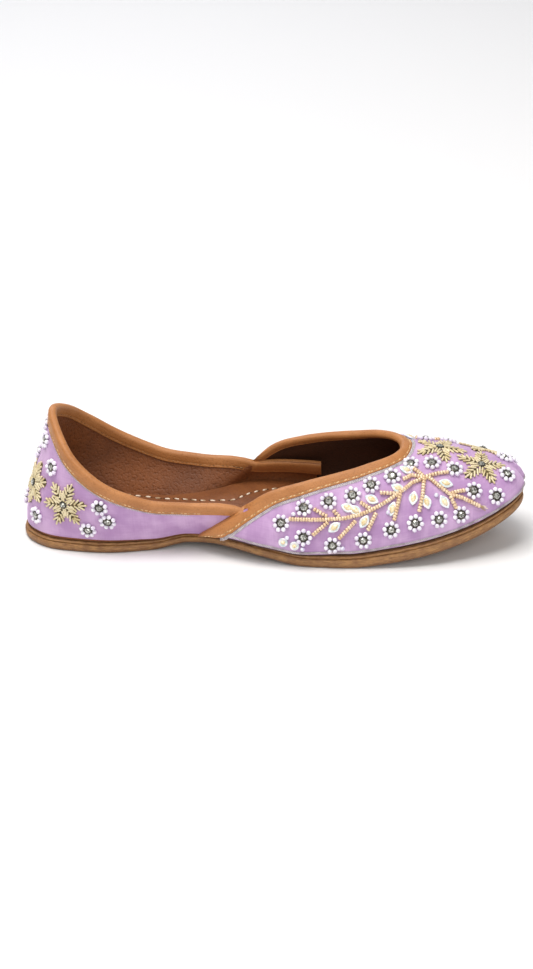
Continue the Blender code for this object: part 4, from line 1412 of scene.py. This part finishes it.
@dataclass(frozen=True)
class Thread(Finish):
    """Two-ply cotton sewing thread, waxed: a dull pale face in two uneven tones."""

    dark: str = "#8A6A42"
    pitch: float = 3.1416 * MM

    def dress(self, tree: Tree, shader: bpy.types.Node) -> None:
        """Bands of tone that change from stitch to stitch."""
        lay = bands(tree, here(tree), self.pitch, "DIAGONAL", 1.5)
        covered(tree, shader, mixed(tree, ramp(tree, lay, .1, .7), self.dark, self.colour), lay, .4, .1 * MM)


@dataclass(frozen=True)
class Wire(Finish):
    """Drawn metal wire coiled to a tube and cut to short lengths, lacquered.

    Gives pale metal crossed by fine dark lines of painted shade between the turns of its coils.
    """

    dark: str = "#7D6B3A"
    metal: float = .6
    coil: float = .35 * MM

    def dress(self, tree: Tree, shader: bpy.types.Node) -> None:
        """Coils with painted shade between their turns, and lacquer worn unevenly."""
        place = here(tree)
        coils = bands(tree, place, self.coil, "DIAGONAL", 2.0, 1)
        worn = ramp(tree, noise(tree, place, 260, 3), .25, .6)
        # painted shade in the grooves between turns, with darker patches where the lacquer is worn
        tone = maths(tree, "MULTIPLY", ramp(tree, coils, 0, .6), worn)
        covered(tree, shader, mixed(tree, tone, self.dark, self.colour), coils, .5, .08 * MM,
                Metallic=self.metal)


@dataclass(frozen=True)
class Glazed(Finish):
    """Moulded bead or stone with a clear lacquered coat over its body colour.

    Gives a hard small highlight over a body that clouds from one tint to another.
    """

    tint: str = "#FFFFFF"
    metal: float = 0
    coat: float = .6
    cloud: float = 420

    def dress(self, tree: Tree, shader: bpy.types.Node) -> None:
        """Body tint, coat and fine unevenness."""
        drift = ramp(tree, noise(tree, here(tree), self.cloud, 2), .35, .65)
        covered(tree, shader, mixed(tree, drift, self.colour, self.tint), Metallic=self.metal,
                Coat_Weight=self.coat, Coat_Roughness=.08)


SEWING = Thread("straw cotton thread, waxed", "#E0C08E", .7, dark="#9C7A4C")
CREAM = Thread("cream cotton cord, waxed", "#E2D0BC", .75, dark="#A98D6C")
ZARI = Wire("zari braid, silvered wire on cotton", "#D5CED0", .42, dark="#9A9093", metal=.3, coil=.5 * MM)
DABKA = Wire("dabka, coiled gilt wire", "#F2E6C6", .42, dark="#C6B380", metal=.15)
GILT = Glazed("gilt glass seed beads", "#D6B48C", .32, tint="#EDD5B4", metal=.2, coat=.5)
PEARLS = Glazed("pearl-lacquered glass beads", "#F3F0F6", .28, tint="#DED6E6", coat=.6)
CLAWS = Glazed("blackened brass cups", "#2E2A25", .38, tint="#5C564C", metal=.7, coat=.2, cloud=900)
# painted reflection: the stones' mottle of pale grey and dark olive stands for glints and dark facets of the
# cut glass
STONES = Glazed("foil-backed glass stones", "#DADBD2", .08, tint="#55564C", metal=.6, coat=1.0, cloud=1300)
OPAL = Glazed("opal resin stones", "#F4EFF3", .18, tint="#CFE0E4", coat=.9, cloud=500)
OPAL_HEART = Glazed("gilt-backed resin", "#DEC48C", .2, tint="#F0E2C0", coat=.9, cloud=600)
CLEAR = Glazed("iridescent clear beads", "#E4E6EE", .10, tint="#C8B8DC", coat=1.0, cloud=500)
# dark olive padding under the star petals: partly the padding's own colour, partly painted shade between the
# bugles
PADDING_AND_SHADE = Thread("olive cotton padding, partly painted shade", "#6A5A3C", .85, dark="#3C3220")
# painted shade: a darker copy of the straw sewing thread, for the stitches on the binding's inner leg
SHADED_THREAD = Thread("straw cotton thread in painted shade, waxed", "#A9794A", .7, dark="#7A5229")
# painted shade: the dark of a needle hole, laid as a small disc under each stitch end
NEEDLE_HOLE = Finish("painted shade in a needle hole", "#38200E", .9)


class View(Enum):
    """How a place is charted: by the two coordinates seen from a side, in millimetres."""

    NEAR = "x, z seen from the right"
    FAR = "x, z seen from the left"
    PLAN = "x, y seen from above"
    BACK = "y, z seen from behind"


@dataclass(frozen=True)
class Spot:
    """A charted place of the embroidery."""

    view: View
    u: float
    v: float

    def ray(self) -> Place:
        """Start and direction of the line of sight, in metres."""
        u, v = self.u * MM, self.v * MM
        match self.view:
            case View.NEAR:
                return Vector((u, -.3, v)), Vector((0, 1, 0))
            case View.FAR:
                return Vector((u, .3, v)), Vector((0, -1, 0))
            case View.PLAN:
                return Vector((u, v, .3)), Vector((0, 0, -1))
            case _:
                return Vector((-.4, u, v)), Vector((1, 0, 0))


def spots(view: View, *places: tuple[float, float]) -> tuple[Spot, ...]:
    """Places charted in one view."""
    return tuple(Spot(view, u, v) for u, v in places)


HEEL_SIDE = ((-106.5, 43.5), (-82, 28), (-78.5, 20), (-89, 14))
# Pearl flowers. The near side and the toe follow the shoe in side view, the far side its pair.
FLOWERS = (
    *spots(View.NEAR, (8, 23.5), (19, 30.5), (31, 33.5), (42.5, 36), (51.5, 40), (19, 17.5), (33, 13.5),
           (48, 16), (61.5, 21), (73, 23.5), (84.5, 24.5), (95, 25.5), (101, 35), (112, 31.5)),
    *spots(View.PLAN, (61.5, -24.5), (70, -15.5), (80.5, -14.5), (91.5, -16), (117, -10.5), (115.5, 5),
           (118.5, 13), (66, 24), (76.5, 14), (87.5, 18)),
    *spots(View.FAR, (11, 24), (24, 29), (34.5, 34.5), (46.5, 38.5), (56, 41), (21, 17), (35, 13.5),
           (49.5, 16.5), (63, 22), (73.5, 26), (84.5, 28), (94.5, 28), (94, 38), (104, 27), (112, 29)),
    *spots(View.NEAR, *HEEL_SIDE), *spots(View.FAR, *HEEL_SIDE),
    *spots(View.BACK, (-8, 53), (8, 53), (0, 59), (-18, 16.5), (18, 16.5), (0, 19), (0, 44)),
)
# Dabka stars: place, petals, reach in millimetres, heading of the first petal in degrees
STARS = (
    (Spot(View.PLAN, 84, -1), 5, 13.5, 0), (Spot(View.PLAN, 104.5, -9.5), 5, 13, 18),
    (Spot(View.PLAN, 105, 13.5), 5, 12.5, 35), (Spot(View.NEAR, -100.5, 27), 6, 13, 6),
    (Spot(View.FAR, -100.5, 27), 6, 13, 6), (Spot(View.BACK, -11.5, 31.5), 6, 12, 30),
    (Spot(View.BACK, 11.5, 31.5), 6, 12, 30),
)
# Stems of gilt seed beads on the near side, x and z; the far side has them mirrored
STEMS = (
    ((12.5, 25.5), (22, 25.5), (30.5, 26), (39, 26.5), (46, 28), (51.5, 30), (55, 31.5), (60, 34), (65.5, 37),
     (69.5, 39), (74.5, 40.5), (77, 41.5)),
    ((77, 41.5), (80, 42), (84, 42.5), (88, 42.5)), ((77, 41.5), (74.5, 43), (72, 44)),
    ((77, 41.5), (72, 42), (67, 41.5)), ((77, 41.5), (76.5, 35), (75, 29)),
    ((77, 41.5), (80, 41), (85.5, 37.5), (90, 34.5), (95, 33), (99, 31), (103.5, 28.5)),
    ((89.5, 35), (93, 35.5), (96, 35.5)), ((90, 33.5), (92.5, 29)), ((30.5, 24.5), (24, 19)),
    ((44, 25), (36.5, 17.5)), ((54, 28.5), (50.5, 21.5)), ((65.5, 36), (63, 26)), ((30, 27.5), (24.5, 30)),
    ((36, 27.5), (34, 29.5)), ((52, 30.5), (47, 33)), ((64, 36.5), (56.5, 37)),
)
# Marquise stones on the near side: x, z, heading in degrees from X toward Z
LEAVES = (
    (68, 44, 160), (64.5, 38.5, 150), (52, 34.5, 150), (40.5, 31, 160), (44, 30, 150), (34, 22.5, 40),
    (48.5, 25, 60), (62, 30.5, 75), (72, 34, 80), (78.5, 32.5, 100), (87, 32, 115), (87.5, 39, 165),
)
# Round sequins and clear beads on the near side: x, z
SEQUINS = ((9, 14.5), (14.5, 13))
CLEAR_BEADS = ((11, 17), (18.5, 11.5), (38, 12), (14, 27.5), (70, 42.5), (60, 29), (83, 35))


@dataclass
class Embroidery:
    """Zardozi work: pearl flowers, dabka stars, gilt stems and opal leaves on the cloth."""

    face: Face
    points: LayingTree
    paths: LayingTree
    flower_radius: float = 3.3 * MM
    pearl: float = 2.38 * MM
    seed_bead: float = 2.3 * MM
    seed_step: float = 1.35 * MM
    bugle: float = 1.05 * MM
    # along, across and off the cloth
    cup: tuple[float, ...] = (4.8 * MM, 4.8 * MM, 2.64 * MM)
    stone: tuple[float, ...] = (3.1 * MM, 3.1 * MM, 2.79 * MM)
    star_cup: tuple[float, ...] = (4.0 * MM, 4.0 * MM, 2.4 * MM)
    star_stone: tuple[float, ...] = (2.6 * MM,) * 3
    padding: tuple[float, ...] = (3.0 * MM, 4.4 * MM, .6 * MM)
    leaf: tuple[float, ...] = (7.4 * MM, 4.9 * MM, 6.5 * MM)
    sequin: tuple[float, ...] = (4.8 * MM, 4.8 * MM, 6 * MM)
    sequin_heart: tuple[float, ...] = (3.6 * MM, 3.6 * MM, 6 * MM)
    clear_bead: tuple[float, ...] = (2.4 * MM,) * 3
    # degrees that the wires of a petal lean out past the first pair, from the centre to the tip
    leans: tuple[float, ...] = (44, 40, 30)
    # degrees and millimetres of the loose strands at the stem's end
    strands: Table = ((-38, 4.6), (-20, 5.2), (-6, 4.0))
    laid: dict[str, list[tuple]] = field(default_factory=dict)

    def put(self, kind: str, spot: Place, lift: float, heading: Vector,
            size: Sequence[float]) -> None:
        """Note a small thing to be laid.

        Args:
            kind: what it is.
            spot: place on the cloth and its normal.
            lift: distance off the cloth.
            heading: direction of its length.
            size: along, across and off the cloth.
        """
        point, facing = spot
        self.laid.setdefault(kind, []).append((point + facing * lift, facing, heading, size))

    def seen(self, side: View, u: float, v: float) -> Place:
        """Place and normal on the cloth of a charted spot."""
        return self.face.shot(*Spot(side, u, v).ray())

    def local(self, centre: Vector, normal: Vector, level: Vector, turn: float,
              along: float, across: float = 0) -> Place:
        """Place on the cloth about a centre.

        Args:
            centre: a place on the cloth.
            normal: the cloth's direction there.
            level: direction from which turns are counted.
            turn: angle to the left of it.
            along: distance that way.
            across: distance to the left of that way.

        Returns:
            The place and its normal.
        """
        ahead = (level - normal * level.dot(normal)).normalized()
        a = math.cos(turn) * along - math.sin(turn) * across
        b = math.sin(turn) * along + math.cos(turn) * across
        return self.face.ground(centre + ahead * a + normal.cross(ahead) * b)

    def flower(self, spot: Spot, turn: float) -> None:
        """Eight pearls round a stone in a claw cup."""
        centre = self.face.shot(*spot.ray())
        level = Vector((1, 0, 0)) if abs(centre[1].x) < .8 else Vector((0, 1, 0))
        for i in range(8):
            out = self.flower_radius + .12 * MM * math.sin(i * 2.3 + turn * 5)
            place = self.local(*centre, level, turn + math.tau * i / 8, out)
            self.put("pearl", place, self.pearl * .40, level, (self.pearl,) * 3)
        self.put("cup", centre, .3 * MM, level, self.cup)
        self.put("stone", centre, .8 * MM, level, self.stone)

    def star(self, spot: Spot, petals: int, reach: float, heading: float) -> None:
        """Petals of slanted bugles in pairs on a dark padding that is partly painted shade, round a stone in
        a cup.

        Args:
            spot: the star's centre.
            petals: how many.
            reach: from the centre to a petal's tip.
            heading: of the first petal, in degrees.
        """
        centre = self.face.shot(*spot.ray())
        level = Vector({View.BACK: (0, -1, 0), View.FAR: (-1, 0, 0)}.get(spot.view, (1, 0, 0)))
        if spot.view is View.FAR:
            heading = 180 - heading
        leans = (200 / petals - 2, *self.leans)
        for i in range(petals):
            petal = (*centre, level, math.radians(heading + 360 * i / petals))
            for n, lean in enumerate(leans):
                share = n / (len(leans) - 1)
                start = 1.6 * MM + share * (reach - 6.5 * MM)
                for side in (-1, 1):
                    stray = math.sin(n * 3.1 + i * 1.7 + side)
                    length = (4.5 - .8 * share + .25 * stray) * MM
                    spread = math.radians(lean + 2.5 * stray)
                    self.bar(self.local(*petal, start, side * .3 * MM),
                             self.local(*petal, start + length * math.cos(spread),
                                        side * (.3 * MM + length * math.sin(spread))))
            self.bar(self.local(*petal, reach - 4.1 * MM), self.local(*petal, reach))
            # padding under each petal, its dark partly real and partly painted shade between the bugles
            for n in range(4):
                middle, ahead = (self.local(*petal, (out + n * 2.0) * MM) for out in (4.2, 5.2))
                self.put("padding", middle, .05 * MM, ahead[0] - middle[0], self.padding)
        self.put("cup", centre, .5 * MM, level, self.star_cup)
        self.put("stone", centre, 1.0 * MM, level, self.star_stone)

    def bar(self, root: Place, tip: Place) -> None:
        """A bugle between two places on the cloth."""
        heading = tip[0] - root[0]
        middle = ((root[0] + tip[0]) / 2, (root[1] + tip[1]).normalized())
        self.put("bugle", middle, self.bugle * .62, heading, (heading.length, self.bugle, self.bugle))

    def stem(self, side: View, places: Table) -> list[Place]:
        """A stem's path on the cloth, with points at most 2.5 mm apart."""
        charted = []
        for (u, v), (p, q) in zip(places, places[1:]):
            count = max(int(math.dist((u, v), (p, q)) / 1.5), 2)
            charted += [(u + (p - u) * i / count, v + (q - v) * i / count) for i in range(count)]
        seen = [self.seen(side, *place) for place in (*charted, places[-1])]
        return [(place + normal * self.seed_bead * .42, normal) for place, normal in seen]

    def build(self) -> None:
        """Lay all the beads, stones and wire."""
        for n, spot in enumerate(FLOWERS):
            self.flower(spot, .39 + .8 * math.sin(n * 2.4))
        for spot, petals, reach, heading in STARS:
            self.star(spot, petals, reach * MM, heading)
        stems, ahead = [], Vector((1, 0, 0))
        for side in (View.NEAR, View.FAR):
            stems += [self.stem(side, places) for places in STEMS]
            for x, z, heading in LEAVES:
                for kind, lift in (("leaf", .25 * MM), ("heart", .45 * MM)):
                    self.put(kind, self.seen(side, x, z), lift, raised(heading), self.leaf)
            for x, z in SEQUINS:
                self.put("sequin", self.seen(side, x, z), .3 * MM, ahead, self.sequin)
                self.put("heart", self.seen(side, x, z), .4 * MM, ahead, self.sequin_heart)
            for x, z in CLEAR_BEADS:
                self.put("clear", self.seen(side, x, z), .9 * MM, ahead, self.clear_bead)
        place, normal = self.seen(View.NEAR, *STEMS[5][-1])
        for turn, length in self.strands:
            way = raised(turn)
            self.put("thread", (place + way * length * .45 * MM, normal), .5 * MM, way,
                     (length * MM, 1.5 * MM, 1.5 * MM))
        self.paths.lay("gilt_stems", paths_mesh(stems), Shape.SEED, GILT,
                       (self.seed_step / .72, self.seed_bead, self.seed_bead), step=self.seed_step, stray=14)
        for kind, name, shape, finish, crease in (
                ("pearl", "pearl_beads", Shape.PEARL, PEARLS, 90),
                ("cup", "claw_cups", Shape.CLAW_CUP, CLAWS, 30),
                ("stone", "rhinestones", Shape.RHINESTONE, STONES, 5),
                ("bugle", "dabka_wire", Shape.BUGLE, DABKA, 60),
                ("leaf", "opal_leaves", Shape.MARQUISE, OPAL, 40),
                ("heart", "opal_hearts", Shape.MARQUISE_CENTRE, OPAL_HEART, 50),
                ("sequin", "sequins", Shape.SEQUIN, OPAL, 40),
                ("clear", "clear_beads", Shape.PEARL, CLEAR, 90),
                ("padding", "star_padding", Shape.PEARL, PADDING_AND_SHADE, 90),
                ("thread", "loose_thread_end", Shape.STITCH, CREAM, 48)):
            points, facing, ways, sizes = zip(*self.laid[kind])
            mesh = carrier(points, facing=facing, heading=ways, size=sizes)
            self.points.lay(name, mesh, shape, finish, (1, 1, 1), crease=crease)


def raised(degrees: float) -> Vector:
    """Direction at an angle from X toward Z."""
    return Vector((math.cos(math.radians(degrees)), 0, math.sin(math.radians(degrees))))


@dataclass
class Needlework:
    """Stitches, needle holes and silver braid along the bindings, the hem and the insole."""

    wall: Wall
    binding: Binding
    insole: Insole
    paths: LayingTree
    pitch: float = 2.6 * MM
    stitch: float = 1.5 * MM
    inside_stitch: float = 1.4 * MM
    stitch_row: float = .8
    braid: float = 1.4 * MM
    # x and half width, in millimetres, of the quilted line on the insole
    quilting: Table = (
        (-115, 0), (-114.5, 5), (-113, 11), (-110.5, 16), (-106, 20.5), (-97, 23.5), (-86, 24.3), (-76, 22.8),
        (-64, 20.5), (-56, 18.5), (-50, 16.5), (-45, 14), (-40, 11.5), (-34, 9.2), (-27, 7.4), (-21, 6.8),
        (-18, 9), (-14, 14.5), (-8, 20.5), (-2, 24.5), (4, 27), (10, 29.5))

    @staticmethod
    def doubled(path: list[Place]) -> list[Path]:
        """A path and its mirror image, joined where they meet on the mirror plane."""
        if on_mirror(path[0][0]):
            return [mirrored(path)[:0:-1] + path]
        if on_mirror(path[-1][0]):
            return [path + mirrored(path)[-2::-1]]
        return [path, mirrored(path)]

    def seam(self, name: str, path: list[Place], finish: Finish, length: float,
             step: float, slant: float = 0, holes: bool = True) -> None:
        """A row of stitches with dark discs of painted shade for needle holes under their ends."""
        self.paths.lay(name, paths_mesh(self.doubled(path)), Shape.STITCH, finish,
                       (length, length, length * .9), step=step, slant=slant, stray=4)
        if holes:
            # needle holes drawn as dark discs of painted shade
            low = [(p - n * .06 * MM, n) for p, n in path]
            self.paths.lay(name + "_holes", paths_mesh(self.doubled(low)), Shape.HOLE, NEEDLE_HOLE,
                           (step * 1.02, .78 * MM, .5 * MM), step=step)

    def plait(self, name: str, path: list[Place], width: float) -> None:
        """Silver braid: two rows of grains that lean toward each other."""
        for side, lean in (("a", 1), ("b", -1)):
            shifted = []
            for i, (point, normal) in enumerate(path):
                ahead = path[min(i + 1, len(path) - 1)][0] - path[max(i - 1, 0)][0]
                place = point + normal.cross(ahead).normalized() * width / 4 * lean
                if on_mirror(point):
                    place.y = 0
                shifted.append((place, normal))
            self.paths.lay(name + "_" + side, paths_mesh(self.doubled(shifted)), Shape.GRAIN, ZARI,
                           (width, width * 1.2, width * .8), step=width * .68, slant=48 * lean, stray=12)

    def hem(self, height: float) -> list[Place]:
        """Path on the vamp at a height above its foot, from the wing to the toe."""
        skin, found = self.wall.skin, []
        for k in range(skin.wing + 1, len(skin.stations)):
            row = self.wall.vamp_out[k]
            strays = .22 * MM * math.sin(k * .41) * math.sin(k * .13)
            at = float(np.interp(height + strays, skin.height[k], np.arange(len(row))))
            low, share = int(at), at - int(at)
            point, normal = Vector(row[low]).lerp(Vector(row[low + 1]), share), Vector(skin.normals[k, low])
            found.append((point + normal * .25 * MM, normal))
        found[-1][0].y = found[-1][1].y = 0
        return found

    def build(self) -> None:
        """Stitch the shoe."""
        collar, throat, corner = self.binding.collar, self.binding.throat, self.binding.corner
        wing = self.wall.skin.wing
        lift = self.binding.leather * .68
        row = self.stitch_row
        self.seam("collar_stitches", collar.path(row, lift, last=wing - 3), SEWING,
                  self.stitch, self.pitch * .82)
        # the inside rows are in the darker thread, as painted shade on the inner leg
        self.seam("collar_inside_stitches", collar.path(row, lift, inside=True, last=wing), SHADED_THREAD,
                  self.inside_stitch, self.pitch * .9)
        self.seam("throat_stitches", throat.path(row, lift, first=2), SEWING,
                  self.stitch, self.pitch * .76, slant=14)
        # painted shade: the darker thread again on the throat's inner leg
        self.seam("throat_inside_stitches", throat.path(row, lift, inside=True, first=corner + 10),
                  SHADED_THREAD, self.inside_stitch, self.pitch)
        self.plait("throat_braid", throat.path(1, .25 * MM, beyond=.8 * MM, first=7), self.braid)
        self.plait("collar_braid", collar.path(1, .2 * MM, beyond=.45 * MM, last=wing - 4), self.braid * .6)
        self.plait("hem_braid", self.hem(2.5 * MM), self.braid * .7)
        end = collar.path(.30, self.binding.leather, inside=True, first=wing)
        self.seam("quarter_end_stitches", end[-9:-5], CREAM, self.stitch, 2.2 * MM, holes=False)
        line, up = [], Vector((0, 0, 1))
        for (x, y), (p, q) in zip(self.quilting, self.quilting[1:]):
            for share in (0, .25, .5, .75):
                u, v = (x + (p - x) * share) * MM, (y + (q - y) * share) * MM
                line.append((Vector((u, v, self.insole.top(u) + self.insole.pads(u, v) + .15 * MM)), up))
        self.seam("insole_stitches", line, CREAM, 2.6 * MM, 5.3 * MM, slant=8)
        x = -11.5 * MM
        bar = [(Vector((x, y * MM, self.insole.top(x) + .25 * MM)), up) for y in (-2.2, 0, 2.2)]
        self.paths.lay("insole_tack", paths_mesh([bar]), Shape.STITCH, CREAM, (5.0 * MM, 3.4 * MM, 3.0 * MM),
                       step=20 * MM)


@dataclass(frozen=True)
class Studio:
    """Pale floor, soft light, and the camera at the photograph's angle to the shoe."""

    azimuth: float = 5.7
    elevation: float = 24.6
    roll: float = -1.6
    distance: float = 1.311
    focal_pixels: float = 2615
    frame_height: float = 969
    aim: tuple[float, float, float] = (0, 0, .020)
    shift_right: float = 5.5
    shift_down: float = 12.0
    floor_width: float = 8

    def camera(self) -> None:
        """Set the camera."""
        data = bpy.data.cameras.new("view")
        camera = linked("view", data)
        azimuth, elevation, roll = (math.radians(v) for v in (self.azimuth, self.elevation, self.roll))
        right = Vector((math.cos(azimuth), math.sin(azimuth), 0))
        back = Vector((math.sin(azimuth) * math.cos(elevation), -math.cos(azimuth) * math.cos(elevation),
                       math.sin(elevation)))
        up = back.cross(right)
        turned = right * math.cos(roll) + up * math.sin(roll)
        matrix = camera.matrix_world.to_3x3()
        matrix.col[0], matrix.col[1], matrix.col[2] = turned, back.cross(turned), back
        camera.matrix_world = matrix.to_4x4()
        camera.location = Vector(self.aim) + back * self.distance
        data.sensor_width = 36
        data.lens = self.focal_pixels / self.frame_height * data.sensor_width
        data.shift_x = -self.shift_right / self.frame_height
        data.shift_y = self.shift_down / self.frame_height
        data.clip_end = 20
        bpy.context.scene.camera = camera

    def lamp(self, name: str, place: Sequence[float], size: float, power: float, tint: str) -> None:
        """Add a soft lamp that looks at the shoe."""
        data = bpy.data.lights.new(name, "AREA")
        data.shape, data.size, data.energy = "SQUARE", size, power
        data.color = linear(tint)[:3]
        lamp = linked(name, data)
        lamp.location = place
        lamp.rotation_euler = (-Vector(place)).to_track_quat("-Z", "Y").to_euler()

    def build(self) -> None:
        """Camera, lamps, sky and floor."""
        self.camera()
        self.lamp("softbox_above", (-.25, -.25, 1.5), 1.0, 23, "#FFFCF9")
        self.lamp("softbox_front", (.5, -1.5, .9), 1.0, 9, "#FFFFFF")
        self.lamp("softbox_back", (-.4, 1.2, .9), .9, 5, "#F4F6FF")
        world = bpy.data.worlds.new("white room")
        world.use_nodes = True
        world.node_tree.nodes["Background"].inputs[0].default_value = linear("#F3F3F3")
        world.node_tree.nodes["Background"].inputs[1].default_value = .43
        bpy.context.scene.world = world
        floor = Piece("floor")
        half = self.floor_width / 2
        corners = np.array([[(x, y, 0) for y in (half, -half)] for x in (half, -half)])
        floor.rows(corners, corners[:, :, :2])
        sheet = from_bmesh("floor", floor.bm)
        sheet.data.materials.append(Finish("matt white paper", "#ECECEC", .9).material())
        if sheet.data.polygons[0].normal.z < 0:
            sheet.data.flip_normals()


def main() -> None:
    """Build the shoe's pieces in order."""
    logging.basicConfig(level=logging.INFO, format="%(message)s")
    bpy.context.scene.view_settings.view_transform = "Standard"
    last = Last()
    skin = Skin(last)
    wall = Wall(skin)
    wall.build()
    binding = Binding(wall)
    binding.quarter()
    binding.vamp()
    Outsole(last).build()
    insole = Insole(wall)
    insole.build()
    on_points, on_paths = LayingTree(False), LayingTree(True)
    Needlework(wall, binding, insole, on_paths).build()
    outside = np.concatenate([wall.quarter_out[:skin.wing], wall.vamp_out[skin.wing:]])
    Embroidery(Face(outside, skin.normals, both=True), on_points, on_paths).build()
    Studio().build()


if __name__ == "__main__":
    main()
